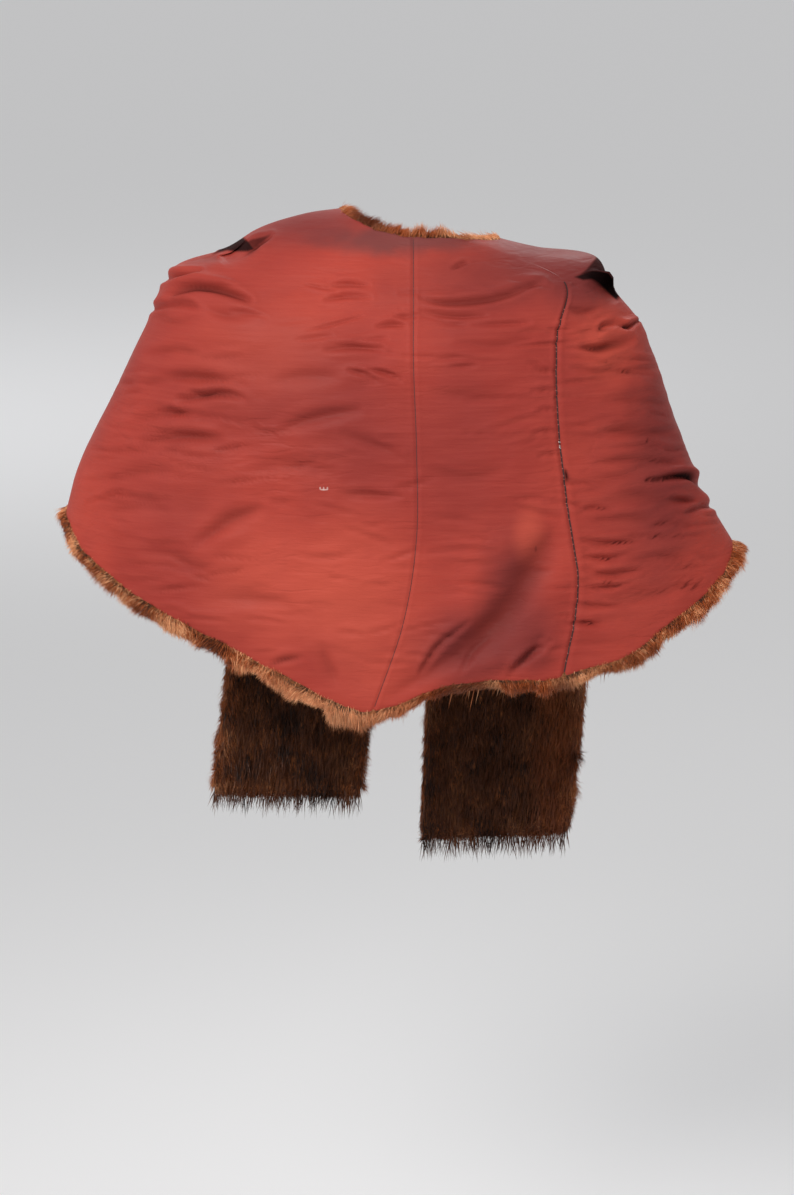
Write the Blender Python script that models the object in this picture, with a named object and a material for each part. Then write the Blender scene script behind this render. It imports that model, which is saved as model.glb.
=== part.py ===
"""Fur capelet worn inside out and back to front: a hollow cape with its satin lining outside, its fur
inside, an open neck and hem, and two long front panels that hang at the rear.

Frame: metres, +Z up, -Y is the side that faces the viewer (the garment's own back), +X is the viewer's
right. The origin is the middle of the neck opening at shoulder height, where the garment is held.

The wall follows a run of rings, from the neck to the hem. Each ring starts at the left opening edge at
the rear, goes round the left side, the front and the right side, and ends at the right opening edge.
"""

import bpy
import numpy as np

MM = 0.001

# ---- sizes, in millimetres -------------------------------------------------------------------------
LINING = 1.2          # thickness of the lining cloth
SEAM_GAP = 0.4        # between two pieces at a seam
LAYER_GAP = 0.4       # between the lining and the pelts under it
PELT = 10.0           # leather and pile of the pelts
EDGE = 6.0            # how far the pelts stand out past the lining along the opening and panel edges
NECK_FUR = 9.0        # how far they stand up past the lining at the neck
HEM_FUR = 15.0        # how far they hang past the lining at the hem
HEM_ROLL = 1.5        # how far the pelt's edge rolls out in front of the lining at the hem
FOLD_REACH = 46.0     # how far each side of a shoulder fold the cloth is drawn in

# ---- rings from the neck to the hem, in millimetres ------------------------------------------------
# side_z is the height at the left and right sides, front_z and back_z at the middle of each face;
# square is the exponent of the ring's outline, 2 for an ellipse and more for a squarer one.
RING_COLUMNS = ("name", "left_x", "left_z", "right_x", "right_z", "front_y", "front_z", "back_y", "back_z", "square")
RING_ROWS = [
    ("neck",     -62,   44,   98,   14,  -64,   22,   74,  -22, 2.0),
    ("collar",  -100,   38,  135,    5,  -88,   -6,   94,  -52, 2.1),
    ("yoke",    -156,   20,  196,   -6, -113,  -46,  110,  -92, 2.2),
    ("shoulder",-226,  -13,  217,  -44, -134,  -94,  122, -140, 2.3),
    ("upper",   -259,  -76,  249,  -92, -142, -176,  128, -200, 2.3),
    ("chest",   -292, -143,  277, -170, -146, -262,  130, -262, 2.3),
    ("lower",   -326, -210,  308, -244, -149, -346,  131, -324, 2.25),
    ("hem",     -342, -262,  338, -295, -152, -430,  131, -386, 2.2),
]
# where the seams and the opening edges cross each ring: x, on the front face or on the rear face
SEAM_COLUMNS = ("name", "open_left", "left_seam", "back_seam", "right_seam", "open_right")
SEAM_ROWS = [
    ("neck",      2,  -40,  11,  66,  50),
    ("collar",   -4,  -66,  11, 112,  52),
    ("yoke",    -10, -104,  11, 160,  50),
    ("shoulder",-14, -150,  11, 151,  48),
    ("upper",   -18, -176,  14, 152,  46),
    ("chest",   -22, -200,  14, 162,  42),
    ("lower",   -24, -214,   1, 173,  38),
    ("hem",     -26, -226, -28, 160,  34),
]
# the hem's height along the front face, left to right, and along the rear face
HEM_FRONT = [  # x, z
    (-342, -262), (-322, -287), (-288, -313), (-244, -340), (-200, -358), (-161, -376), (-125, -394),
    (-85, -417), (-44, -433), (-20, -431), (29, -414), (85, -404), (140, -404), (178, -397),
    (230, -383), (269, -356), (300, -337), (326, -317), (338, -295),
]
HEM_REAR = [  # x, z
    (-342, -262), (-324, -296), (-282, -334), (-226, -364), (-120, -388), (0, -396), (120, -402),
    (226, -392), (282, -366), (322, -328), (338, -295),
]
# the two long front panels below the hem, at the rear: x of each edge and z at their lower end
PANEL_COLUMNS = ("name", "inner_x_top", "outer_x_top", "inner_x_end", "outer_x_end", "y_end", "inner_z", "outer_z")
PANEL_ROWS = [
    ("left",  -26, -176, -46, -204, 124, -610, -606),
    ("right",  34,  189,  22,  180, 124, -660, -652),
]
# the gaping fold at the tip of each shoulder: where its line crosses the rings (as a part of the way
# round, 0 at the middle of the front and 1 at the side), its first and last ring, and its height
FOLD_COLUMNS = ("name", "at_first", "at_last", "first", "last", "height")
FOLD_ROWS = [
    ("left",  0.86, 0.90, 1.20, 2.70, 11.0),
    ("right", 0.76, 0.93, 2.00, 3.05, 20.0),
]
# section across a fold, front to rear: place before folding, then how far it moves along and out,
# all in parts of FOLD_REACH (place) or of the fold's height (along, out)
FOLD_SECTION = [
    (-1.00, 0.00, 0.00), (-0.62, 0.04, 0.10), (-0.36, 0.30, 0.16), (-0.16, 0.80, 0.14), (-0.06, 1.05, 0.16),
    (0.00, 1.00, 0.38), (0.07, 0.42, 0.72), (0.14, -0.25, 1.00), (0.30, -0.22, 0.92), (0.62, -0.06, 0.42), (1.00, 0.00, 0.00),
]

PLAIN_SKIPS = (3, 5, 6)  # places of the fold's section that the plain pelts under it do without

RINGS = [dict(zip(RING_COLUMNS, row)) for row in RING_ROWS]
SEAMS = [dict(zip(SEAM_COLUMNS, row)) for row in SEAM_ROWS]
PANELS = {row[0]: dict(zip(PANEL_COLUMNS, row)) for row in PANEL_ROWS}
FOLDS = {row[0]: dict(zip(FOLD_COLUMNS, row)) for row in FOLD_ROWS}
LAST = len(RINGS) - 1


def smooth_curve(x, y, at):
    """A smooth curve through (x, y), read at the places in at. x rises."""
    x, y, at = np.asarray(x, float), np.asarray(y, float), np.asarray(at, float)
    step = np.diff(x).reshape((-1,) + (1,) * (y.ndim - 1))
    slope = np.diff(y, axis=0) / step
    tangent = np.zeros_like(y)
    tangent[0], tangent[-1] = slope[0], slope[-1]
    tangent[1:-1] = (slope[:-1] * step[1:] + slope[1:] * step[:-1]) / (step[:-1] + step[1:])
    i = np.clip(np.searchsorted(x, at, side="right") - 1, 0, len(x) - 2)
    h = (x[i + 1] - x[i])
    t = ((at - x[i]) / h).reshape((-1,) + (1,) * (y.ndim - 1))
    h = h.reshape(t.shape)
    return (
        (2 * t**3 - 3 * t**2 + 1) * y[i]
        + (t**3 - 2 * t**2 + t) * h * tangent[i]
        + (3 * t**2 - 2 * t**3) * y[i + 1]
        + (t**3 - t**2) * h * tangent[i + 1]
    )


def ring_point(ring, angle):
    """Points of a ring at these angles: 0 is the middle of the front, 90 degrees the right side."""
    s, c = np.sin(angle), np.cos(angle)
    power = 2.0 / ring["square"]
    middle = (ring["left_x"] + ring["right_x"]) / 2
    half = (ring["right_x"] - ring["left_x"]) / 2
    x = middle + half * np.sign(s) * np.abs(s) ** power
    y = np.where(c >= 0, ring["front_y"], ring["back_y"]) * np.abs(c) ** power
    side = np.where(s >= 0, ring["right_z"], ring["left_z"])
    face = np.where(c >= 0, ring["front_z"], ring["back_z"])
    z = side * s * s + face * c * c
    if ring["name"] == "hem":
        front, rear = np.array(HEM_FRONT, float), np.array(HEM_REAR, float)
        z = np.where(c >= 0, smooth_curve(front[:, 0], front[:, 1], x), smooth_curve(rear[:, 0], rear[:, 1], x))
    return np.stack([x, y, z], -1)


def angle_at(ring, x, rear):
    """The angle at which a ring crosses x, on its front or its rear face."""
    middle = (ring["left_x"] + ring["right_x"]) / 2
    half = (ring["right_x"] - ring["left_x"]) / 2
    u = np.clip((x - middle) / half, -1, 1)
    a = np.arcsin(np.sign(u) * np.abs(u) ** (ring["square"] / 2.0))
    if not rear:
        return a
    return np.pi - a if x > middle else -np.pi - a


def between(a, b, n):
    """n places from a to b, with both ends."""
    return list(np.linspace(a, b, n))


def lay_out(fine=1):
    """Which columns there are: a list of (key, value, shared). The key says how its place on a ring is found;
    shared is False for a column that only the lining has, in its shoulder folds."""
    cols = []
    n = lambda count: count * fine
    cols += [("edge_left", 0.0, True), ("edge_left", EDGE, True)]
    cols += [("panel_left", f, True) for f in between(0, 1, n(5) + 1) if 0 < f < 1]
    cols += [("tail_left", 0.0, True), ("tail_left", EDGE, True)]
    cols += [("gusset_left", f, True) for f in between(0, 1, n(2) + 1) if 0 < f < 1]
    cols += [("left_seam", 0.0, True)]
    cols += [("side_left", f, True) for f in between(0, 1, n(7) + 1) if 0 < f < 1]
    cols += [("fold_left", -row[0], i not in PLAIN_SKIPS) for i, row in reversed(list(enumerate(FOLD_SECTION)))]
    cols += [("back_left", f, True) for f in between(0, 1, n(8) + 1) if 0 < f < 1]
    cols += [("back_seam", 0.0, True)]
    cols += [("back_right", f, True) for f in between(0, 1, n(6) + 1) if 0 < f < 1]
    cols += [("right_seam", 0.0, True)]
    cols += [("arm_right", f, True) for f in between(0, 1, n(3) + 1) if 0 < f < 1]
    cols += [("fold_right", row[0], i not in PLAIN_SKIPS) for i, row in enumerate(FOLD_SECTION)]
    cols += [("side_right", f, True) for f in between(0, 1, n(6) + 1) if 0 < f < 1]
    cols += [("tail_right", -EDGE, True), ("tail_right", 0.0, True)]
    cols += [("panel_right", f, True) for f in between(0, 1, n(5) + 1) if 0 < f < 1]
    cols += [("edge_right", -EDGE, True), ("edge_right", 0.0, True)]
    return cols


def fold_angle(name, ring_number):
    """The angle of a shoulder fold's line on a ring."""
    fold = FOLDS[name]
    share = np.clip((ring_number - fold["first"]) / (fold["last"] - fold["first"]), 0, 1.35)
    turn = fold["at_first"] + share * (fold["at_last"] - fold["at_first"])
    turn = np.clip(turn, 0.45, 1.12)
    return (-1 if name == "left" else 1) * turn * np.pi / 2


def ring_columns(number, cols):
    """The points of one ring at every column, spaced by length along the ring."""
    ring, seam = RINGS[number], SEAMS[number]
    first = angle_at(ring, seam["open_left"], True)
    last = angle_at(ring, seam["open_right"], True)
    angles = np.linspace(first, last, 1441)
    points = ring_point(ring, angles)
    length = np.concatenate([[0], np.cumsum(np.linalg.norm(np.diff(points, axis=0), axis=1))])
    at = lambda angle: float(np.interp(angle, angles, length))
    total = length[-1]
    left_seam = at(angle_at(ring, seam["left_seam"], True))
    back_seam = at(angle_at(ring, seam["back_seam"], False))
    right_seam = at(angle_at(ring, seam["right_seam"], False))
    fold_l, fold_r = at(fold_angle("left", number)), at(fold_angle("right", number))
    # the long panel's outer edge takes the same part of the rear on every ring as it does at the hem
    hem = RINGS[LAST]
    hem_angles = np.linspace(angle_at(hem, SEAMS[LAST]["open_left"], True), angle_at(hem, SEAMS[LAST]["open_right"], True), 1441)
    hem_points = ring_point(hem, hem_angles)
    hem_length = np.concatenate([[0], np.cumsum(np.linalg.norm(np.diff(hem_points, axis=0), axis=1))])
    hem_at = lambda x: float(np.interp(angle_at(hem, x, True), hem_angles, hem_length))
    share_l = hem_at(PANELS["left"]["outer_x_top"]) / hem_at(SEAMS[LAST]["left_seam"])
    share_r = (hem_length[-1] - hem_at(PANELS["right"]["outer_x_top"])) / (
        hem_length[-1] - float(np.interp(np.pi / 2, hem_angles, hem_length)))
    tail_l = left_seam * share_l
    tail_r = total - (total - at(np.pi / 2)) * share_r
    edge = min(EDGE, 0.1 * left_seam)
    # below a shoulder fold its columns spread out again, to an even spacing by the hem
    loose_l = min(1.0, max(0.0, (number - FOLDS["left"]["last"]) / 2.0))
    loose_r = min(1.0, max(0.0, (number - FOLDS["right"]["last"]) / 2.0))
    reach_l = min(FOLD_REACH * (1 + 1.2 * loose_l), 0.32 * (fold_l - left_seam), 0.42 * (back_seam - fold_l))
    reach_r = min(FOLD_REACH * (1 + 1.0 * loose_r), 0.70 * (fold_r - right_seam), 0.45 * (tail_r - fold_r))
    even = {round(row[0], 4): -1 + 2 * i / (len(FOLD_SECTION) - 1) for i, row in enumerate(FOLD_SECTION)}
    spread = lambda q, turn, loose: q + (turn * even[round(turn * q, 4)] - q) * loose
    places = []
    for key, value, _ in cols:
        small = value / EDGE * edge
        places.append({
            "edge_left": lambda: small,
            "panel_left": lambda: edge + value * (tail_l - edge * 2),
            "tail_left": lambda: tail_l - edge + small,
            "gusset_left": lambda: tail_l + value * (left_seam - tail_l),
            "left_seam": lambda: left_seam,
            "side_left": lambda: left_seam + value * (fold_l - reach_l - left_seam),
            "fold_left": lambda: fold_l + spread(value, -1, loose_l) * reach_l,
            "back_left": lambda: fold_l + reach_l + value * (back_seam - fold_l - reach_l),
            "back_seam": lambda: back_seam,
            "back_right": lambda: back_seam + value * (right_seam - back_seam),
            "right_seam": lambda: right_seam,
            "arm_right": lambda: right_seam + value * (fold_r - reach_r - right_seam),
            "fold_right": lambda: fold_r + spread(value, 1, loose_r) * reach_r,
            "side_right": lambda: fold_r + reach_r + value * (tail_r - fold_r - reach_r),
            "tail_right": lambda: tail_r + edge + small,
            "panel_right": lambda: tail_r + edge + value * (total - tail_r - 2 * edge),
            "edge_right": lambda: total + small,
        }[key]())
    places = np.array(places)
    return np.stack([np.interp(places, length, points[:, k]) for k in range(3)], -1)


def fold_height(name, row):
    """A fold's height on a ring: it opens slowly from its inner end and closes quickly at its outer one."""
    fold = FOLDS[name]
    share = (row - fold["first"]) / (fold["last"] - fold["first"])
    return fold["height"] * float(np.interp(share, [0, 0.30, 0.62, 0.80, 1.0], [0, 0.50, 1.0, 0.70, 0]))


def grid_normals(grid):
    """Unit normals of a grid of points, rows down and columns round, pointing out of the garment."""
    down = np.gradient(grid, axis=0)
    along = np.gradient(grid, axis=1)
    normal = np.cross(down, along)
    normal /= np.maximum(np.linalg.norm(normal, axis=-1, keepdims=True), 1e-9)
    return normal


ROW_PLACES = [0, 0.6, 1.2, 1.7, 2.05, 2.35, 2.6, 2.8, 3.1, 3.6, 4.3, 5, 5.7, 6.4, 7]
PANEL_STEPS = 5


def build_grid(fine=1):
    """(points, normals, columns, first row of the cloth, hem row). Row 0 is the pelts' edge at the neck; rows after
    the hem row are the pelts' edge at the hem and then the long panels."""
    cols = lay_out(fine)
    rings = np.stack([ring_columns(k, cols) for k in range(LAST + 1)])
    body = smooth_curve(range(LAST + 1), rings, ROW_PLACES)
    unit = lambda v: v / np.linalg.norm(v, axis=-1, keepdims=True)
    neck = body[0] + unit(body[0] - body[1]) * NECK_FUR
    drop = body[-1] + unit(body[-1] - body[-2]) * HEM_FUR
    rows = [neck, *body, drop]
    for step in range(1, PANEL_STEPS + 1):
        share = step / PANEL_STEPS
        below = np.full_like(drop, np.nan)
        for name in ("left", "right"):
            keys = {"left": ("edge_left", "panel_left", "tail_left"), "right": ("tail_right", "panel_right", "edge_right")}[name]
            picked = [i for i, c in enumerate(cols) if c[0] in keys]
            panel = PANELS[name]
            across = np.linspace(0, 1, len(picked))
            length = np.concatenate([[0], np.cumsum(np.linalg.norm(np.diff(drop[picked], axis=0), axis=1))])
            across = length / length[-1]
            start, end = ("inner", "outer") if name == "left" else ("outer", "inner")
            x_end = panel[start + "_x_end"] + across * (panel[end + "_x_end"] - panel[start + "_x_end"])
            z_end = panel[start + "_z"] + across * (panel[end + "_z"] - panel[start + "_z"])
            finish = np.stack([x_end, np.full_like(x_end, panel["y_end"]), z_end], -1)
            h = share
            top, head = drop[picked], (drop[picked] - body[-1][picked]) / HEM_FUR
            reach = np.linalg.norm(finish - top, axis=-1, keepdims=True)
            below[picked] = (
                (2 * h**3 - 3 * h**2 + 1) * top + (h**3 - 2 * h**2 + h) * head * reach
                + (3 * h**2 - 2 * h**3) * finish + (h**3 - h**2) * unit(finish - top) * reach
            )
        rows.append(below)
    grid = np.stack(rows)
    hem_row = len(body)
    whole = grid.copy()
    for r in range(hem_row + 2, len(grid)):  # plain continuation where there is no cloth, so that normals stay sound
        gone = np.isnan(whole[r, :, 0])
        whole[r, gone] = whole[r - 1, gone] + (drop - body[-1])[gone]
    return whole, grid_normals(whole), cols, 1, hem_row


def fold_shift(grid, normals, cols):
    """How the shoulder folds move the lining away from the plain wall."""
    moved = np.zeros_like(grid)
    along = np.gradient(grid, axis=1)
    along /= np.linalg.norm(along, axis=-1, keepdims=True)
    section = {round(row[0], 4): row for row in FOLD_SECTION}
    for name in ("left", "right"):
        picked = [i for i, c in enumerate(cols) if c[0] == "fold_" + name]
        turn = -1 if name == "left" else 1
        for r, place in enumerate(ROW_PLACES):
            height = fold_height(name, place)
            for i in picked:
                _, shift, out = section[round(turn * cols[i][1], 4)]
                moved[r + 1, i] = along[r + 1, i] * shift * height * turn + normals[r + 1, i] * out * height
    return moved


def wall(name, outer, inner, cells, material):
    """A closed wall between two grids of points, over these cells, as one object."""
    used = sorted({(r + a, c + b) for r, c, c2 in cells for a in (0, 1) for b in (0, c2 - c)})
    number = {key: i for i, key in enumerate(used)}
    count = len(used)
    points = [outer[k] for k in used] + [inner[k] for k in used]
    faces, sides = [], {}
    for r, c, c2 in cells:
        loop = [number[r, c], number[r + 1, c], number[r + 1, c2], number[r, c2]]
        # both faces of the wall are split along the same diagonal, and so are the pieces that lie on each other
        for corner in ((0, 1, 2), (0, 2, 3)):
            faces.append([loop[k] for k in corner])
            faces.append([loop[k] + count for k in reversed(corner)])
        for a, b in zip(loop, loop[1:] + loop[:1]):
            sides[frozenset((a, b))] = None if frozenset((a, b)) in sides else (a, b)
    for pair in sides.values():
        if pair:
            a, b = pair
            if used[a] < used[b]:
                faces += [[b, a, b + count], [a, a + count, b + count]]
            else:
                faces += [[b, a, a + count], [b, a + count, b + count]]
    mesh = bpy.data.meshes.new(name)
    mesh.from_pydata([tuple(float(v) * MM for v in p) for p in points], [], faces)
    mesh.validate()
    mesh.materials.append(material)
    obj = bpy.data.objects.new(name, mesh)
    bpy.context.scene.collection.objects.link(obj)
    mesh.shade_smooth()
    return obj


def material(name, colour, roughness):
    made = bpy.data.materials.new(name)
    made.use_nodes = True
    shader = made.node_tree.nodes["Principled BSDF"]
    shader.inputs["Base Color"].default_value = (*colour, 1.0)
    shader.inputs["Roughness"].default_value = roughness
    shader.inputs["Metallic"].default_value = 0.0
    return made


def column_of(cols, key, nth=0):
    return [i for i, c in enumerate(cols) if c[0] == key][nth]


def main():
    for obj in list(bpy.data.objects):
        bpy.data.objects.remove(obj, do_unlink=True)
    satin = material("rust_satin", (0.42, 0.075, 0.055), 0.5)
    fur = material("red_brown_fur", (0.25, 0.075, 0.03), 0.85)

    grid, normals, cols, first_row, hem_row = build_grid()
    folded = grid + fold_shift(grid, normals, cols)
    lining_normals = grid_normals(folded)
    last_row = len(grid) - 1
    shared = [i for i, c in enumerate(cols) if c[2]]

    lining_out = folded
    lining_in = folded - lining_normals * LINING
    fur_out = grid - normals * (LINING + LAYER_GAP)
    fur_in = fur_out - normals * PELT
    roll = np.zeros(grid.shape[:2])
    roll[hem_row + 1] = LINING + LAYER_GAP + HEM_ROLL
    roll[0] = LINING + LAYER_GAP - 0.6
    tails = [i for i, c in enumerate(cols) if c[0] in ("edge_left", "panel_left", "tail_left", "tail_right", "panel_right", "edge_right")]
    roll[hem_row + 1, tails] = 0
    fur_out = fur_out + normals * roll[..., None]

    ends = {
        "open_left": 0, "lining_left": 1,
        "tail_left_in": column_of(cols, "tail_left", 0), "tail_left": column_of(cols, "tail_left", 1),
        "left_seam": column_of(cols, "left_seam"), "back_seam": column_of(cols, "back_seam"),
        "right_seam": column_of(cols, "right_seam"),
        "tail_right": column_of(cols, "tail_right", 0), "tail_right_in": column_of(cols, "tail_right", 1),
        "lining_right": len(cols) - 2, "open_right": len(cols) - 1,
    }

    def piece(name, outer, inner, start, end, rows, picked, paint, tail=None):
        """One cut piece between two columns, drawn in by half of the seam gap at a seam."""
        outer, inner = outer.copy(), inner.copy()
        names = [i for i in picked if start <= i <= end]
        for edge, towards in ((names[0], names[1]), (names[-1], names[-2])):
            if edge in (ends["left_seam"], ends["back_seam"], ends["right_seam"]):
                for layer in (outer, inner):
                    step = layer[:, towards] - layer[:, edge]
                    step /= np.linalg.norm(step, axis=-1, keepdims=True)
                    layer[:, edge] += step * SEAM_GAP / 2
        cells = [(r, a, b) for r in range(*rows) for a, b in zip(names, names[1:])]
        if tail:
            across = [i for i in names if tail[0] <= i <= tail[1]]
            cells += [(r, a, b) for r in range(rows[1], tail[2]) for a, b in zip(across, across[1:])]
        return wall(name, outer, inner, cells, paint)

    everything = list(range(len(cols)))
    cloth_rows = (first_row, hem_row)
    pelt_rows = (0, hem_row + 1)
    left_tail = (ends["lining_left"], ends["tail_left_in"], last_row - 1)
    right_tail = (ends["tail_right_in"], ends["lining_right"], last_row - 1)
    piece("lining_front_left", lining_out, lining_in, ends["lining_left"], ends["left_seam"], cloth_rows, everything, satin, left_tail)
    piece("lining_back_left", lining_out, lining_in, ends["left_seam"], ends["back_seam"], cloth_rows, everything, satin)
    piece("lining_back_right", lining_out, lining_in, ends["back_seam"], ends["right_seam"], cloth_rows, everything, satin)
    piece("lining_front_right", lining_out, lining_in, ends["right_seam"], ends["lining_right"], cloth_rows, everything, satin, right_tail)
    piece("fur_front_left", fur_out, fur_in, ends["open_left"], ends["left_seam"], pelt_rows, shared, fur,
          (ends["open_left"], ends["tail_left"], last_row))
    piece("fur_back", fur_out, fur_in, ends["left_seam"], ends["right_seam"], pelt_rows, shared, fur)
    piece("fur_front_right", fur_out, fur_in, ends["right_seam"], ends["open_right"], pelt_rows, shared, fur,
          (ends["tail_right"], ends["open_right"], last_row))


main()
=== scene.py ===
"""Looks of the fur capelet: creased satin lining outside, fur at the neck, the hem and the panel edges."""

import math

import bpy
import numpy as np
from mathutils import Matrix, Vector


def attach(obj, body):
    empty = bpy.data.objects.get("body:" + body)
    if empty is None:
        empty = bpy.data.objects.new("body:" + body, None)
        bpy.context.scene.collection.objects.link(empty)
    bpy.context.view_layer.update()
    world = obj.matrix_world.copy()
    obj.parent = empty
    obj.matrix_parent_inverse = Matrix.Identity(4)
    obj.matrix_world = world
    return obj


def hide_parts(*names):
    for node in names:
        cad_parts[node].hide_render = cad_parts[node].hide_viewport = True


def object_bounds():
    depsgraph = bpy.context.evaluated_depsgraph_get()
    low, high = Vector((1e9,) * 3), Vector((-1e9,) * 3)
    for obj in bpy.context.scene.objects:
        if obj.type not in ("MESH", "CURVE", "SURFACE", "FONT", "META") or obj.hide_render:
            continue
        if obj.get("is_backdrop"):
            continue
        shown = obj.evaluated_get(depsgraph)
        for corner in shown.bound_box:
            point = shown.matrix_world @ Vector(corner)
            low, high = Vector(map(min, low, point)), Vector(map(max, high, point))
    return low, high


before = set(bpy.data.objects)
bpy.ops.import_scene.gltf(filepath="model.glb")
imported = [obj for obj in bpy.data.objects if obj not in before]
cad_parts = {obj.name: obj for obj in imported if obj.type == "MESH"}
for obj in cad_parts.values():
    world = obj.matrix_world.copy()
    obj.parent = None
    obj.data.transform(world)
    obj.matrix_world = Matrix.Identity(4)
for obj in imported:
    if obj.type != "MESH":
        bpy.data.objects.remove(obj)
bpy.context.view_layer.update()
rng = np.random.default_rng(20731)
MM = 0.001

# ======================================================================================================
# The garment's surface: the same rings, seams and long panels as the CAD form, in millimetres
# ======================================================================================================
RING_COLUMNS = ("name", "left_x", "left_z", "right_x", "right_z", "front_y", "front_z", "back_y", "back_z", "square")
RING_ROWS = [
    ("neck",     -62,   44,   98,   14,  -64,   22,   74,  -22, 2.0),
    ("collar",  -100,   38,  135,    5,  -88,   -6,   94,  -52, 2.1),
    ("yoke",    -156,   20,  196,   -6, -113,  -46,  110,  -92, 2.2),
    ("shoulder",-226,  -13,  217,  -44, -134,  -94,  122, -140, 2.3),
    ("upper",   -259,  -76,  249,  -92, -142, -176,  128, -200, 2.3),
    ("chest",   -292, -143,  277, -170, -146, -262,  130, -262, 2.3),
    ("lower",   -326, -210,  308, -244, -149, -346,  131, -324, 2.25),
    ("hem",     -342, -262,  338, -295, -152, -430,  131, -386, 2.2),
]
SEAM_COLUMNS = ("name", "open_left", "left_seam", "back_seam", "right_seam", "open_right")
SEAM_ROWS = [
    ("neck",      2,  -40,  11,  66,  50),
    ("collar",   -4,  -66,  11, 112,  52),
    ("yoke",    -10, -104,  11, 160,  50),
    ("shoulder",-14, -150,  11, 151,  48),
    ("upper",   -18, -176,  14, 152,  46),
    ("chest",   -22, -200,  14, 162,  42),
    ("lower",   -24, -214,   1, 173,  38),
    ("hem",     -26, -226, -28, 160,  34),
]
HEM_FRONT = [  # x, z
    (-342, -262), (-322, -287), (-288, -313), (-244, -340), (-200, -358), (-161, -376), (-125, -394),
    (-85, -417), (-44, -433), (-20, -431), (29, -414), (85, -404), (140, -404), (178, -397),
    (230, -383), (269, -356), (300, -337), (326, -317), (338, -295),
]
HEM_REAR = [  # x, z
    (-342, -262), (-324, -296), (-282, -334), (-226, -364), (-120, -388), (0, -396), (120, -402),
    (226, -392), (282, -366), (322, -328), (338, -295),
]
PANEL_COLUMNS = ("name", "inner_x_top", "outer_x_top", "inner_x_end", "outer_x_end", "y_end", "inner_z", "outer_z")
PANEL_ROWS = [
    ("left",  -26, -176, -46, -204, 124, -610, -606),
    ("right",  34,  189,  22,  180, 124, -660, -652),
]
FOLD_COLUMNS = ("name", "at_first", "at_last", "first", "last", "height", "dip", "lip_end", "draw")
FOLD_ROWS = [
    ("left",  0.86, 0.90, 1.92, 2.46,  1.5,  7.0, 0.26, 5.8),
    ("right", 0.70, 0.93, 1.98, 3.02, 14.0,  5.0, 0.36, 0.95),
]
FOLD_OPENS = {  # part of the way along a fold, how open it is there, and how much its rear lip is raised
    "left": ((0, 0.22, 0.45, 0.62, 0.80, 0.93, 1.0), (0, 0.45, 0.90, 1.0, 0.80, 0.36, 0), (0, -0.8, -1.9, -2.4, -2.0, -1.0, 0)),
    "right": ((0, 0.14, 0.30, 0.46, 0.58, 0.70, 0.84, 1.0), (0, 0.24, 0.80, 1.0, 1.0, 0.86, 0.46, 0), (0, 0.50, 1.00, 0.84, 0.54, 0.26, 0.08, 0)),
}
FOLD_REACH = 46.0
EDGE = 6.0
# section across a shoulder fold, front to rear: place, move along and move out (parts of the height), and how
# much of the dip the cloth in front of the fold takes
FOLD_SECTION = [
    (-1.00, 0.00, 0.00, 0.00), (-0.75, 0.02, 0.00, 0.16), (-0.52, 0.10, 0.00, 0.50), (-0.36, 0.26, 0.02, 0.82),
    (-0.25, 0.55, 0.02, 1.00), (-0.16, 0.95, -0.06, 1.10), (-0.10, 1.32, -0.12, 1.15), (-0.05, 1.52, -0.06, 1.10),
    (-0.01, 1.52, 0.20, 0.70), (0.03, 1.26, 0.46, 0.34), (0.07, 0.80, 0.72, 0.12), (0.105, 0.26, 0.93, 0.00),
    (0.14, -0.14, 1.02, 0.00), (0.17, -0.32, 0.98, 0.00), (0.21, -0.36, 1.03, 0.00), (0.28, -0.30, 1.00, 0.00),
    (0.40, -0.18, 0.82, 0.00), (0.58, -0.08, 0.54, 0.00), (0.80, -0.01, 0.20, 0.00), (1.00, 0.00, 0.00, 0.00),
]
RINGS = [dict(zip(RING_COLUMNS, row)) for row in RING_ROWS]
SEAMS = [dict(zip(SEAM_COLUMNS, row)) for row in SEAM_ROWS]
PANELS = {row[0]: dict(zip(PANEL_COLUMNS, row)) for row in PANEL_ROWS}
FOLDS = {row[0]: dict(zip(FOLD_COLUMNS, row)) for row in FOLD_ROWS}
LAST = len(RINGS) - 1


def unit(v):
    return v / np.maximum(np.linalg.norm(v, axis=-1, keepdims=True), 1e-9)


def smooth_curve(x, y, at):
    """A smooth curve through (x, y), read at the places in at. x rises."""
    x, y, at = np.asarray(x, float), np.asarray(y, float), np.asarray(at, float)
    step = np.diff(x).reshape((-1,) + (1,) * (y.ndim - 1))
    slope = np.diff(y, axis=0) / step
    tangent = np.zeros_like(y)
    tangent[0], tangent[-1] = slope[0], slope[-1]
    tangent[1:-1] = (slope[:-1] * step[1:] + slope[1:] * step[:-1]) / (step[:-1] + step[1:])
    i = np.clip(np.searchsorted(x, at, side="right") - 1, 0, len(x) - 2)
    h = x[i + 1] - x[i]
    t = ((at - x[i]) / h).reshape(at.shape + (1,) * (y.ndim - 1))
    h = h.reshape(t.shape)
    return (
        (2 * t**3 - 3 * t**2 + 1) * y[i]
        + (t**3 - 2 * t**2 + t) * h * tangent[i]
        + (3 * t**2 - 2 * t**3) * y[i + 1]
        + (t**3 - t**2) * h * tangent[i + 1]
    )


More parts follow.
